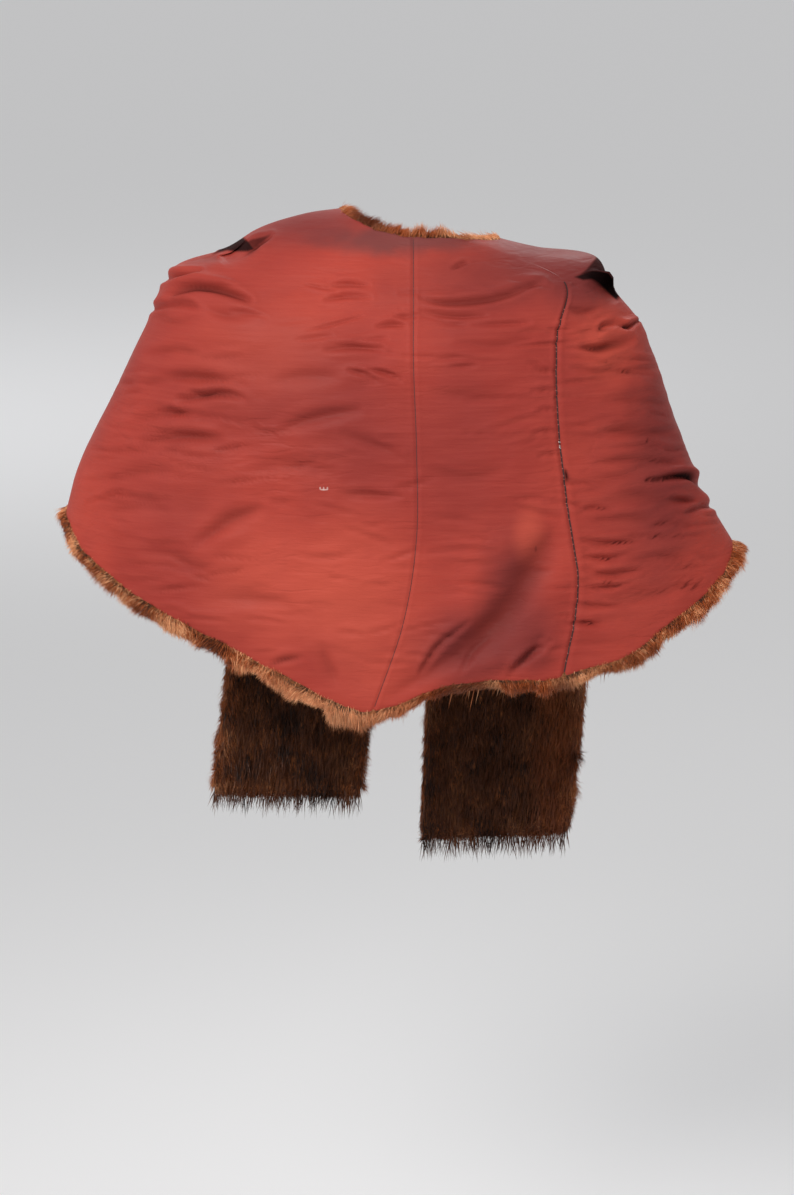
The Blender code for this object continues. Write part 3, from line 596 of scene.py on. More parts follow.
# ======================================================================================================
# Meshes
# ======================================================================================================
def new_object(name, points, faces, material, smooth=True, uv=None):
    mesh = bpy.data.meshes.new(name)
    points = np.ascontiguousarray(points, np.float32)
    faces = np.asarray(faces, np.int32)
    mesh.vertices.add(len(points))
    mesh.vertices.foreach_set("co", (points * MM).ravel())
    corners = faces.shape[1]
    mesh.loops.add(faces.size)
    mesh.loops.foreach_set("vertex_index", faces.ravel())
    mesh.polygons.add(len(faces))
    mesh.polygons.foreach_set("loop_start", np.arange(len(faces), dtype=np.int32) * corners)
    mesh.polygons.foreach_set("loop_total", np.full(len(faces), corners, np.int32))
    mesh.polygons.foreach_set("use_smooth", np.full(len(faces), smooth))
    if uv is not None:
        layer = mesh.uv_layers.new(name="Strand")
        layer.uv.foreach_set("vector", np.ascontiguousarray(uv[faces.ravel()], np.float32).ravel())
    mesh.update(calc_edges=True)
    mesh.materials.append(material)
    obj = bpy.data.objects.new(name, mesh)
    bpy.context.scene.collection.objects.link(obj)
    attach(obj, "root")
    return obj


def grid_faces(rows, cols, offset=0):
    r, c = np.meshgrid(np.arange(rows - 1), np.arange(cols - 1), indexing="ij")
    a = (r * cols + c).ravel() + offset
    return np.stack([a, a + cols, a + cols + 1, a + 1], 1)


def first_of(key):
    return int(np.flatnonzero(KEYS == key)[0])


def last_of(key):
    return int(np.flatnonzero(KEYS == key)[-1])


C_LEFT, C_BACK, C_RIGHT = first_of("left_seam"), first_of("back_seam"), first_of("right_seam")
C_FIRST, C_LAST = 1, len(COLS) - 2

# ======================================================================================================
# Materials
# ======================================================================================================


class Nodes:
    """Small helper that adds and joins shader nodes."""

    def __init__(self, name):
        self.material = bpy.data.materials.new(name)
        self.material.use_nodes = True
        self.tree = self.material.node_tree
        self.shader = self.tree.nodes["Principled BSDF"]
        self.where = self.add("ShaderNodeTexCoord").outputs["Object"]

    def add(self, kind, **settings):
        node = self.tree.nodes.new(kind)
        for key, value in settings.items():
            setattr(node, key, value)
        return node

    def put(self, socket, value):
        if isinstance(value, bpy.types.NodeSocket):
            self.tree.links.new(value, socket)
        else:
            socket.default_value = value

    def math(self, how, a, b=0.0, clamp=False):
        node = self.add("ShaderNodeMath", operation=how, use_clamp=clamp)
        self.put(node.inputs[0], a)
        self.put(node.inputs[1], b)
        return node.outputs[0]

    def scaled(self, scale, turn=(0.0, 0.0, 0.0)):
        node = self.add("ShaderNodeMapping")
        self.put(node.inputs["Vector"], self.where)
        node.inputs["Scale"].default_value = scale
        node.inputs["Rotation"].default_value = turn
        return node.outputs["Vector"]

    def noise(self, scale, detail=2.0, rough=0.5, vector=None):
        node = self.add("ShaderNodeTexNoise")
        self.put(node.inputs["Vector"], vector or self.where)
        node.inputs["Scale"].default_value = scale
        node.inputs["Detail"].default_value = detail
        node.inputs["Roughness"].default_value = rough
        return node.outputs["Fac"]

    def range(self, value, low, high, to_low=0.0, to_high=1.0, smooth=True):
        node = self.add("ShaderNodeMapRange", interpolation_type="SMOOTHSTEP" if smooth else "LINEAR")
        self.put(node.inputs["Value"], value)
        node.inputs["From Min"].default_value = low
        node.inputs["From Max"].default_value = high
        node.inputs["To Min"].default_value = to_low
        node.inputs["To Max"].default_value = to_high
        return node.outputs["Result"]

    def mix(self, factor, a, b, how="MIX"):
        node = self.add("ShaderNodeMix", data_type="RGBA", blend_type=how)
        self.put(node.inputs["Factor"], factor)
        for socket, value in ((node.inputs[6], a), (node.inputs[7], b)):
            self.put(socket, value if isinstance(value, bpy.types.NodeSocket) else (*value, 1.0))
        return node.outputs[2]

    def blob(self, centre, radii, soft=0.5, wobble=0.0, scale=30.0):
        """1 inside an ellipsoid (millimetres), falling to 0 outside, with an uneven edge."""
        shift = self.add("ShaderNodeVectorMath", operation="SUBTRACT")
        self.put(shift.inputs[0], self.where)
        shift.inputs[1].default_value = [v * MM for v in centre]
        shrink = self.add("ShaderNodeVectorMath", operation="DIVIDE")
        self.put(shrink.inputs[0], shift.outputs[0])
        shrink.inputs[1].default_value = [v * MM for v in radii]
        long = self.add("ShaderNodeVectorMath", operation="LENGTH")
        self.put(long.inputs[0], shrink.outputs[0])
        size = long.outputs["Value"]
        if wobble:
            size = self.math("ADD", size, self.math("MULTIPLY", self.math("SUBTRACT", self.noise(scale, 3.0), 0.5), wobble))
        return self.range(size, 1.0 - soft, 1.0 + soft, 1.0, 0.0)

    def bump(self, height, strength, distance, normal=None):
        node = self.add("ShaderNodeBump")
        self.put(node.inputs["Height"], height)
        node.inputs["Strength"].default_value = strength
        node.inputs["Distance"].default_value = distance
        if normal:
            self.put(node.inputs["Normal"], normal)
        return node.outputs["Normal"]


def satin(name, stains_wear_and_painted_shade=True):
    n = Nodes(name)
    broad = n.noise(5.5, 3.0, 0.55)
    middle = n.noise(22.0, 4.0, 0.6)
    thread = n.noise(1.0, 2.0, 0.6, n.scaled((90.0, 90.0, 1500.0)))
    slub = n.noise(1.0, 3.0, 0.6, n.scaled((14.0, 14.0, 260.0)))
    colour = n.mix(n.range(broad, 0.36, 0.66), (0.305, 0.037, 0.028), (0.425, 0.054, 0.036))
    colour = n.mix(n.math("MULTIPLY", n.range(middle, 0.42, 0.72), 0.35), colour, (0.300, 0.042, 0.036))
    colour = n.mix(n.math("MULTIPLY", n.range(slub, 0.35, 0.75), 0.16), colour, (0.500, 0.088, 0.060))
    colour = n.mix(n.math("MULTIPLY", n.range(thread, 0.35, 0.70), 0.14), colour, (0.27, 0.040, 0.035))
    if stains_wear_and_painted_shade:
        mauve, grey = (0.160, 0.028, 0.027), (0.120, 0.046, 0.046)
        neck = n.blob((8, -66, 24), (84, 30, 17), 0.5, 1.0, 34.0)
        colour = n.mix(n.math("MULTIPLY", neck, 0.74), colour, grey)
        # painted shade: the tops of the yoke and both shoulders are darkened against the light and sheen that fall on
        # them from above
        for centre, radii, amount in (((142, -30, -8), (104, 84, 32), 0.85), ((-104, -40, 34), (66, 60, 18), 0.70), ((176, -60, -24), (30, 50, 22), 0.6)):
            colour = n.mix(n.math("MULTIPLY", n.blob(centre, radii, 0.8, 0.8, 18.0), amount), colour, mauve)
        shade = n.blob((52, -105, -24), (70, 50, 30), 0.8, 1.3, 22.0)
        colour = n.mix(n.math("MULTIPLY", shade, 0.30), colour, mauve)
        # darker patches: stains of the lining, and painted shade of the low valley where they lie over it
        for centre, radii, amount in (
            ((52, -146, -170), (34, 60, 120), 0.18), ((-70, -146, -150), (60, 60, 70), 0.34), ((-170, -130, -120), (70, 60, 60), 0.30),
            ((108, -140, -318), (28, 60, 60), 0.76), ((70, -146, -372), (50, 60, 34), 0.80), ((124, -140, -372), (26, 60, 30), 0.60),
            ((236, -96, -250), (46, 60, 110), 0.26), ((-216, -110, -210), (70, 60, 44), 0.20), ((262, -70, -190), (30, 60, 90), 0.5),
        ):
            mask = n.blob(centre, radii, 0.8, 1.2, 14.0)
            colour = n.mix(n.math("MULTIPLY", mask, amount), colour, mauve)
        for centre, radii, amount in (
            ((124, -138, -258), (12, 50, 24), 0.60), ((-118, -142, -318), (70, 60, 60), 0.50),
            ((-40, -150, -330), (46, 60, 80), 0.50), ((-140, -128, -80), (70, 60, 44), 0.30), ((200, -110, -80), (26, 60, 34), 0.45),
        ):
            mask = n.blob(centre, radii, 0.8, 0.9, 18.0)
            colour = n.mix(n.math("MULTIPLY", mask, amount), colour, (0.540, 0.088, 0.055))
        tear = n.blob((131, -138, -275), (1.3, 30, 3.2), 0.4, 0.0)
        colour = n.mix(n.math("MULTIPLY", tear, 0.45), colour, (0.10, 0.016, 0.014))
        for centre, radii in (((-76, -146, -213.4), (3.6, 30, 0.8)), ((-76.2, -146, -212.2), (0.7, 30, 1.6)), ((-72.6, -146, -212.2), (0.8, 30, 1.5)), ((-79.6, -146, -212.0), (0.8, 30, 1.4))):
            nick = n.blob(centre, radii, 0.35, 0.0)
            colour = n.mix(n.math("MULTIPLY", nick, 0.6), colour, (0.66, 0.46, 0.42))
    fold = n.add("ShaderNodeSeparateXYZ")
    n.put(fold.inputs[0], n.add("ShaderNodeUVMap", uv_map="Strand").outputs["UV"])
    # painted shade in the crease troughs, carried in the Strand map's v
    colour = n.mix(n.math("MULTIPLY", fold.outputs[1], 0.62), colour, (0.120, 0.014, 0.010))
    # painted shadow: near black where the Strand map's u is set, inside the shoulder folds and along the darkest crease
    # lines
    colour = n.mix(fold.outputs[0], colour, (0.012, 0.004, 0.004))
    n.put(n.shader.inputs["Base Color"], colour)
    n.put(n.shader.inputs["Roughness"], n.math("ADD", n.range(middle, 0.3, 0.7, 0.47, 0.60), n.math("MULTIPLY", fold.outputs[0], 0.5), True))
    n.shader.inputs["Metallic"].default_value = 0.0
    n.shader.inputs["Specular IOR Level"].default_value = 0.09
    weave = n.bump(thread, 0.30, 0.0006)
    weave = n.bump(slub, 0.28, 0.0012, weave)
    rumple = n.noise(1.0, 3.0, 0.55, n.scaled((22.0, 22.0, 60.0)))
    weave = n.bump(rumple, 0.30, 0.004, weave)
    # thin broken creases: where a stretched noise crosses its middle, on the stretches picked by another
    for scale, place, amount in (((9.0, 9.0, 46.0), 7.0, 0.20), ((17.0, 17.0, 70.0), 11.0, 0.14)):
        wave = n.noise(1.0, 2.5, 0.55, n.scaled(scale, (0.0, 0.10, 0.0)))
        line = n.range(n.math("ABSOLUTE", n.math("SUBTRACT", wave, 0.5)), 0.0, 0.055, 0.0, 1.0)
        held = n.range(n.noise(place, 2.0, 0.5), 0.48, 0.62)
        height = n.math("SUBTRACT", 1.0, n.math("MULTIPLY", n.math("SUBTRACT", 1.0, line), held))
        weave = n.bump(height, amount, 0.0022, weave)
    n.put(n.shader.inputs["Normal"], weave)
    return n.material


def undercoat(name):
    """The dense wool under the fur's long hairs."""
    n = Nodes(name)
    tuft = n.noise(1.0, 4.0, 0.65, n.scaled((260.0, 260.0, 120.0)))
    patch = n.noise(30.0, 3.0, 0.6)
    colour = n.mix(n.range(tuft, 0.35, 0.7), (0.070, 0.024, 0.012), (0.400, 0.135, 0.048))
    colour = n.mix(n.math("MULTIPLY", n.range(patch, 0.46, 0.62), 0.85), colour, (0.026, 0.014, 0.010))
    n.put(n.shader.inputs["Base Color"], colour)
    n.shader.inputs["Roughness"].default_value = 0.9
    n.shader.inputs["Metallic"].default_value = 0.0
    n.shader.inputs["Specular IOR Level"].default_value = 0.15
    n.put(n.shader.inputs["Normal"], n.bump(tuft, 0.8, 0.003))
    return n.material


def hair(name, blond=0.5, dark=0.3, patches=(), shades=((0.430, 0.105, 0.030), (0.860, 0.420, 0.205), (0.075, 0.018, 0.008))):
    """Guard hairs: darker roots, rust and blond bands, rust tips. Strand's u is each hair's own shade, v runs up it."""
    n = Nodes(name)
    strand = n.add("ShaderNodeUVMap", uv_map="Strand")
    split = n.add("ShaderNodeSeparateXYZ")
    n.put(split.inputs[0], strand.outputs["UV"])
    own, up = split.outputs[0], split.outputs[1]
    patch = n.noise(26.0, 3.0, 0.6)
    light = n.math("ADD", n.math("MULTIPLY", own, 0.50), n.math("MULTIPLY", n.range(patch, 0.34, 0.66), 0.70))
    rust, pale, deep = shades
    colour = n.mix(n.range(light, 1.02 - blond, 1.32 - blond), rust, pale)
    colour = n.mix(n.range(light, dark, dark - 0.22), colour, deep)
    for centre, radii, amount, shade in patches:
        mask = n.blob(centre, radii, 0.6, 1.0, 30.0)
        colour = n.mix(n.math("MULTIPLY", mask, amount), colour, shade)
    root = n.math("MULTIPLY", n.range(up, 0.30, 0.0), n.range(n.noise(19.0, 2.0, 0.5), 0.40, 0.60, 0.35, 0.95))
    colour = n.mix(root, colour, (0.022, 0.010, 0.007))
    colour = n.mix(n.math("MULTIPLY", n.range(up, 0.72, 1.0), 0.50), colour, tuple(v * 0.72 for v in rust))
    n.put(n.shader.inputs["Base Color"], colour)
    n.shader.inputs["Roughness"].default_value = 0.48
    n.shader.inputs["Metallic"].default_value = 0.0
    n.shader.inputs["Specular IOR Level"].default_value = 0.22
    return n.material


def thread(name, colour):
    n = Nodes(name)
    n.shader.inputs["Base Color"].default_value = (*colour, 1.0)
    n.shader.inputs["Roughness"].default_value = 0.7
    n.shader.inputs["Metallic"].default_value = 0.0
    return n.material


SATIN = satin("satin")
WOOL = undercoat("fur_undercoat")
RUST, BROWN, SAND = (0.380, 0.078, 0.016), (0.115, 0.022, 0.008), (0.900, 0.440, 0.220)
HAIR_HEM = hair("fur_hair_hem", 0.48, 0.44, (
    ((20, -152, -432), (44, 60, 24), 0.80, RUST), ((66, -152, -420), (46, 60, 26), 0.92, BROWN),
    ((126, -150, -410), (34, 60, 16), 0.30, RUST), ((-72, -152, -428), (66, 60, 30), 0.60, SAND),
    ((-270, -100, -320), (96, 90, 64), 0.24, (0.180, 0.048, 0.016)), ((226, -110, -394), (60, 70, 26), 0.65, (0.240, 0.060, 0.018)), ((296, -70, -350), (26, 80, 24), 0.40, RUST),
    ((330, -40, -300), (24, 90, 20), 0.55, RUST), ((160, -140, -420), (14, 60, 18), 0.80, BROWN)))
HAIR_NECK = hair("fur_hair_neck", 0.36, 0.34, (
    ((-30, -60, 44), (44, 60, 24), 0.62, RUST), ((-32, -60, 40), (18, 60, 13), 0.85, BROWN), ((28, -66, 24), (22, 60, 10), 0.6, RUST),
    ((84, -40, 18), (26, 60, 16), 0.6, SAND)))
HAIR_EDGE = hair("fur_hair_edges", 0.24, 0.44, (), ((0.330, 0.095, 0.030), (0.520, 0.220, 0.095), (0.060, 0.018, 0.008)))
# painted shade: the panels' hairs are painted near black for the deep shadow they hang in behind the garment; patches
# along the right panel's outer edge keep a lighter brown there
HAIR_TAIL_PAINTED_SHADE = hair("fur_hair_panels", 0.14, 0.50, (
    ((168, 120, -560), (24, 60, 34), 0.80, (0.200, 0.052, 0.016)), ((168, 120, -500), (24, 60, 40), 0.80, (0.240, 0.066, 0.020)),
    ((166, 120, -440), (24, 60, 44), 0.75, (0.200, 0.052, 0.016)), ((164, 120, -620), (24, 60, 40), 0.75, (0.170, 0.044, 0.015))), ((0.085, 0.026, 0.010), (0.180, 0.066, 0.026), (0.020, 0.008, 0.005)))
HAIR_INSIDE = hair("fur_hair_inside", 0.30, 0.42, (), ((0.330, 0.095, 0.030), (0.620, 0.290, 0.140), (0.060, 0.018, 0.008)))

# ======================================================================================================
# Lining
# ======================================================================================================
hem_down = unit(body[-1] - body[-3])
neck_up = unit(body[0] - body[2])
top_normal, low_normal = normals[0], normals[-1]


def waver(n, size, seed, spans):
    """An uneven line: a few waves of the given spans, in columns."""
    own = np.random.default_rng(seed)
    i = np.arange(n)
    return sum(size / (k + 1) * np.sin(2 * np.pi * i / span + own.uniform(0, 6.28)) for k, span in enumerate(spans))


hem_waver = waver(len(COLS), 1.3, 5, (61, 23, 11))
neck_waver = waver(len(COLS), 0.8, 6, (47, 19))
# the hem's and the neck's edges are turned under, a little puffed
turn_low = [(0.0, 0.0), (1.6, -0.9), (1.9, -2.2), (-2.0, -3.0)]
turn_high = [(0.0, 0.0), (1.2, -0.7), (1.4, -1.8), (-2.0, -2.6)]
lining_rows = [formed[0] + neck_up * (t + neck_waver[:, None]) + top_normal * n for t, n in reversed(turn_high[1:])]
first_body = len(lining_rows)
lining_rows += list(formed)
lining_rows[-1] = lining_rows[-1] + hem_down * hem_waver[:, None]
lining_rows += [formed[-1] + hem_down * (t + hem_waver[:, None]) + low_normal * n for t, n in turn_low[1:]]
lining_grid = np.stack(lining_rows)

TAILS = {}
for tail_name in ("left", "right"):
    picked, rows = tail_rows(tail_name)
    tail_normals = grid_normals(rows)
    moved = crease_depth(rows[..., [0, 2]].reshape(-1, 2), REAR_CREASES).reshape(rows.shape[:2]) + 0.6 * ripples(rows)
    moved *= np.clip(np.linspace(0, 6, len(rows)), 0, 1)[:, None]
    moved[0] = 0
    TAILS[tail_name] = {"cols": picked, "grid": rows, "normals": tail_normals, "formed": rows + tail_normals * moved[..., None]}


def lining_piece(name, start, end, tail=None):
    cols = np.arange(start, end + 1)
    grid = lining_grid[:, cols].copy()
    points, faces = [grid.reshape(-1, 3)], [grid_faces(grid.shape[0], grid.shape[1])]
    if tail:
        t = TAILS[tail]
        inside = (t["cols"] >= C_FIRST) & (t["cols"] <= C_LAST)
        inside &= ~np.isin(t["cols"], [t["cols"][-1] if tail == "left" else t["cols"][0]])
        below = t["formed"][:-4, inside]
        shared = np.searchsorted(cols, t["cols"][inside])
        # over the long panel the cloth goes on down instead of turning under
        last_body = first_body + len(formed) - 1
        keep = np.ones(len(faces[0]), bool)
        r, c = np.divmod(np.arange(len(faces[0])), len(cols) - 1)
        keep[(r >= last_body) & (c >= shared[0]) & (c < shared[-1])] = False
        faces[0] = faces[0][keep]
        grid[last_body, shared] = formed[-1, cols[shared]]
        points[0] = grid.reshape(-1, 3)
        faces.append(grid_faces(below.shape[0], below.shape[1], len(points[0])))
        points.append(below.reshape(-1, 3))
    all_points = np.concatenate(points)
    uv = np.zeros((len(all_points), 2))
    # the Strand map carries two painted masks: u the deep painted shadow, v the painted shade of the crease troughs
    uv[first_body * len(cols) : (first_body + len(formed)) * len(cols), 0] = painted_deep_shadow[:, cols].ravel()
    uv[first_body * len(cols) : (first_body + len(formed)) * len(cols), 1] = painted_trough_shade[:, cols].ravel()
    obj = new_object(name, all_points, np.concatenate(faces), SATIN, uv=uv)
    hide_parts(name)
    return obj


lining_piece("lining_front_left", C_FIRST, C_LEFT, "left")
lining_piece("lining_back_left", C_LEFT, C_BACK)
lining_piece("lining_back_right", C_BACK, C_RIGHT)
lining_piece("lining_front_right", C_RIGHT, C_LAST, "right")

# ======================================================================================================
# Fur: an undercoat with rounded rims along every edge, and hairs that grow from it
# ======================================================================================================
# profiles of a rim: how far out past the lining's edge, and how far along the cloth's normal
RIM_HEM = [(-12, -2.2), (-5, -2.0), (-0.5, -0.6), (2.5, 2.2), (5.5, 3.6), (8.5, 2.2), (10.0, -2.0), (9.5, -7.0), (6.5, -11.5), (0.0, -13.0), (-12, -11.8)]
RIM_NECK = [(-10, -2.0), (-3, -1.8), (1.5, -0.6), (4.5, -1.0), (6.5, -3.5), (6.5, -7.5), (4.0, -11.0), (-2, -12.4), (-12, -11.8)]
RIM_EDGE = [(-8, -1.8), (0, -1.6), (3.5, -0.2), (6.0, -2.0), (7.0, -5.5), (6.0, -9.5), (2.5, -12.0), (-8, -11.8)]


# how full the hem's roll of fur is: x along the front, and a factor
HEM_SWELL = ((-342, -300, -250, -200, -150, -72, -62, -52, -32, -8, 30, 80, 120, 165, 200, 260, 338),
             (0.68, 0.82, 1.05, 0.95, 1.00, 0.95, 1.28, 1.00, 1.08, 0.85, 0.78, 0.70, 0.72, 0.90, 0.74, 0.98, 0.84))


def rim(line, outward, normal, profile, swell=None):
    """A grid that follows the line (n points): rows go across the rim, from the lining round to the inside."""
    f = np.ones(len(line)) if swell is None else swell
    return np.stack([line + outward * (e * f if e > 0 else e + 0 * f)[:, None] + normal * (h * f if h > 0 else h + 0 * f)[:, None] for e, h in profile])


def hem_swell(line):
    uneven = 1 + 0.10 * np.sin(line[:, 0] / 9.0 + 1.0) + 0.08 * np.sin(line[:, 0] / 5.3)
    return np.where(line[:, 1] < 0, np.interp(line[:, 0], *HEM_SWELL), 0.9) * uneven


def thin_out(idx, step):
    kept = list(idx[::step])
    if kept[-1] != idx[-1]:
        kept.append(idx[-1])
    return np.array(kept)


class Pelt:
    """Collects the undercoat grids of one fur piece."""

    def __init__(self):
        self.points, self.faces, self.count = [], [], 0

    def add(self, grid):
        self.points.append(grid.reshape(-1, 3))
        self.faces.append(grid_faces(grid.shape[0], grid.shape[1], self.count))
        self.count += grid.shape[0] * grid.shape[1]

    def build(self, name):
        obj = new_object(name, np.concatenate(self.points), np.concatenate(self.faces), WOOL)
        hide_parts(name)
        return obj


INNER = 11.6
body_inner = body - normals * INNER


def between_points(line, at):
    """Points of an (n, 3) line at the fractional places in at."""
    return np.stack([np.interp(at, np.arange(len(line)), line[:, k]) for k in range(3)], -1)


def grow_on_grid(grid, count, weights=None):
    """Random places on a grid: (points, row place, column place), evenly by area and then by the rows' weights."""
    a = np.linalg.norm(np.cross(grid[1:, :-1] - grid[:-1, :-1], grid[:-1, 1:] - grid[:-1, :-1]), axis=-1)
    if weights is not None:
        a = a * np.asarray(weights, float)[:, None]
    p = a.ravel() / a.sum()
    pick = rng.choice(len(p), count, p=p)
    r, c = np.divmod(pick, a.shape[1])
    fr, fc = rng.random(count), rng.random(count)
    g00, g10, g01, g11 = grid[r, c], grid[r + 1, c], grid[r, c + 1], grid[r + 1, c + 1]
    fr1, fc1 = fr[:, None], fc[:, None]
    points = (g00 * (1 - fr1) + g10 * fr1) * (1 - fc1) + (g01 * (1 - fr1) + g11 * fr1) * fc1
    return points, r + fr, c + fc


def hairs(name, roots, directions, lengths, widths, bends, material):
    """Tapered ribbons of two steps each. bends is how far each tip is moved, in millimetres."""
    n = len(roots)
    d = unit(directions)
    spin = unit(np.cross(d, unit(rng.normal(size=(n, 3)))))
    w = widths[:, None]
    half = roots + d * (lengths * 0.5)[:, None] + bends * 0.28
    tip = roots + d * lengths[:, None] + bends
    points = np.stack([roots - spin * w / 2, roots + spin * w / 2, half - spin * w * 0.42, half + spin * w * 0.42, tip], 1)
    base = (np.arange(n) * 5)[:, None]
    faces = np.concatenate([base + [0, 1, 3], base + [0, 3, 2], base + [2, 3, 4]], 1).reshape(-1, 3)
    shade = rng.random(n)
    uv = np.zeros((n, 5, 2))
    uv[:, :, 0] = shade[:, None]
    uv[:, :, 1] = [0, 0, 0.5, 0.5, 1.0]
    obj = new_object(name, points.reshape(-1, 3), faces, material, smooth=True, uv=uv.reshape(-1, 2))
    return obj


def rim_hairs(line, outward, normal, profile, count, weights, length, lay, width=0.50, clump=9.0, seed=1, spread=0.15, down=0.0, stand=0.30, swell=None, way=0.0, gather=0.55):
    """Hairs on a rim, lying round it from the lining outwards. lay is how strongly they lie and stand how far they
    lift off; way leans them along the rim; returns what hairs() takes."""
    own = np.random.default_rng(seed)
    grid = rim(line, outward, normal, profile, swell)
    points, r, c = grow_on_grid(grid, count, weights)
    prof = np.array(profile, float)
    step = np.gradient(prof, axis=0)
    step /= np.linalg.norm(step, axis=1, keepdims=True)
    te = np.interp(r, np.arange(len(prof)), step[:, 0])
    tn = np.interp(r, np.arange(len(prof)), step[:, 1])
    o, m = unit(between_points(outward, c)), unit(between_points(normal, c))
    side = unit(np.cross(o, m))
    arc = np.concatenate([[0], np.cumsum(np.linalg.norm(np.diff(line, axis=0), axis=1))])
    place = np.interp(c, np.arange(len(arc)), arc)
    group = np.floor((place + own.normal(0, clump * 0.20, len(place))) / clump).astype(int)
    groups = int(arc[-1] / clump) + 2
    group = np.clip(group, 0, groups - 1)
    lean, reach, lift = own.normal(0, 0.16, groups), own.normal(1.0, 0.20, groups), own.normal(0, 0.14, groups)
    # the hairs' lie turns slowly along the rim
    knots = int(arc[-1] / 26.0) + 4
    slow = np.interp(place / 26.0, np.arange(knots), own.normal(way, 0.42, knots))
    face = o * -tn[:, None] + m * te[:, None]
    rise = np.clip(stand + lift[group] + own.normal(0, 0.10, count), 0.03, 1.2)
    stray = own.random(count) < 0.05
    rise = np.where(stray, rise + own.uniform(0.3, 0.9, count), rise)
    d = (o * te[:, None] + m * tn[:, None]) * lay + o * 0.25 + face * rise[:, None] + side * (lean[group] + slow)[:, None]
    d = d + own.normal(0, spread, (count, 3)) + np.array([0, 0, -down])
    d = unit(d)
    full = 1.0 if swell is None else np.interp(c, np.arange(len(swell)), swell)
    size = length * full * np.clip(reach[group], 0.6, 1.4) * own.uniform(0.55, 1.15, count)
    # tips of one tuft draw together, and curl round the rim
    middle = (group + 0.5) * clump
    draw = (middle - place) * gather
    bend = side * draw[:, None] - face * (size * 0.22)[:, None] + np.array([0, 0, -1.0]) * (size * 0.06)[:, None]
    return points, d, size, width * own.uniform(0.6, 1.3, count), bend


def joined(name, groups, material):
    packed = [np.concatenate([g[k] for g in groups]) for k in range(5)]
    return hairs(name, *packed, material)


def cape_rows(step=3):
    return thin_out(np.arange(len(body)), step)


def line_of(points, cols):
    return points[cols]


hem_line = body[-1] + hem_down * hem_waver[:, None]
neck_line = body[0] + neck_up * neck_waver[:, None]
full_side = {}
for tail_name in ("left", "right"):
    t = TAILS[tail_name]
    edge_col = 1 if tail_name == "left" else len(COLS) - 2
    out_col = 0 if tail_name == "left" else len(COLS) - 1
    cape_edge, cape_out = body[:, edge_col], body[:, out_col]
    own_edge = int(np.flatnonzero(t["cols"] == edge_col)[0])
    own_out = int(np.flatnonzero(t["cols"] == out_col)[0])
    line = np.concatenate([cape_edge[:-1], t["grid"][:-3, own_edge]])
    outer = np.concatenate([cape_out[:-1], t["grid"][:-3, own_out]])
    normal = np.concatenate([normals[:-1, edge_col], t["normals"][:-3, own_edge]])
    full_side[tail_name] = {"line": line, "outward": unit(outer - line), "normal": unit(normal)}
    # the panel's other edge, below the hem
    far = len(t["cols"]) - 1 if tail_name == "left" else 0
    step_in = -1 if tail_name == "left" else 1
    base = t["grid"][:-3, far + step_in]
    full_side[tail_name]["outer"] = {"line": base, "outward": unit(t["grid"][:-3, far] - base), "normal": unit(t["normals"][:-3, far])}
    low = t["grid"][-4]
    full_side[tail_name]["end"] = {"line": low, "outward": unit(t["grid"][-1] - t["grid"][-4]), "normal": unit(t["normals"][-4])}


def hem_rim(start, end, step=2):
    cols = thin_out(np.arange(start, end + 1), step)
    return hem_line[cols], hem_down[cols], low_normal[cols]


def neck_rim(start, end, step=2):
    cols = thin_out(np.arange(start, end + 1), step)
    return neck_line[cols], neck_up[cols], top_normal[cols]


HEM_WEIGHTS = [0.0, 0.55, 1.6, 1.5, 1.4, 1.2, 1.0, 0.6, 0.2, 0.05]
NECK_WEIGHTS = [0.0, 0.6, 1.5, 1.3, 1.2, 0.9, 0.5, 0.2]
EDGE_WEIGHTS = [0.0, 0.5, 1.2, 1.3, 1.2, 1.0, 0.4]


def inner_hairs(grid, inward, down, count, length, width, seed):
    own = np.random.default_rng(seed)
    points, r, c = grow_on_grid(grid, count)
    ri, ci = np.clip(np.rint(r).astype(int), 0, grid.shape[0] - 1), np.clip(np.rint(c).astype(int), 0, grid.shape[1] - 1)
    d = unit(inward[ri, ci] * 0.42 + down[ri, ci] * 0.9 + own.normal(0, 0.20, (count, 3)))
    size = length * own.uniform(0.6, 1.2, count)
    bend = down[ri, ci] * (size * 0.15)[:, None]
    return points, d, size, width * own.uniform(0.6, 1.3, count), bend


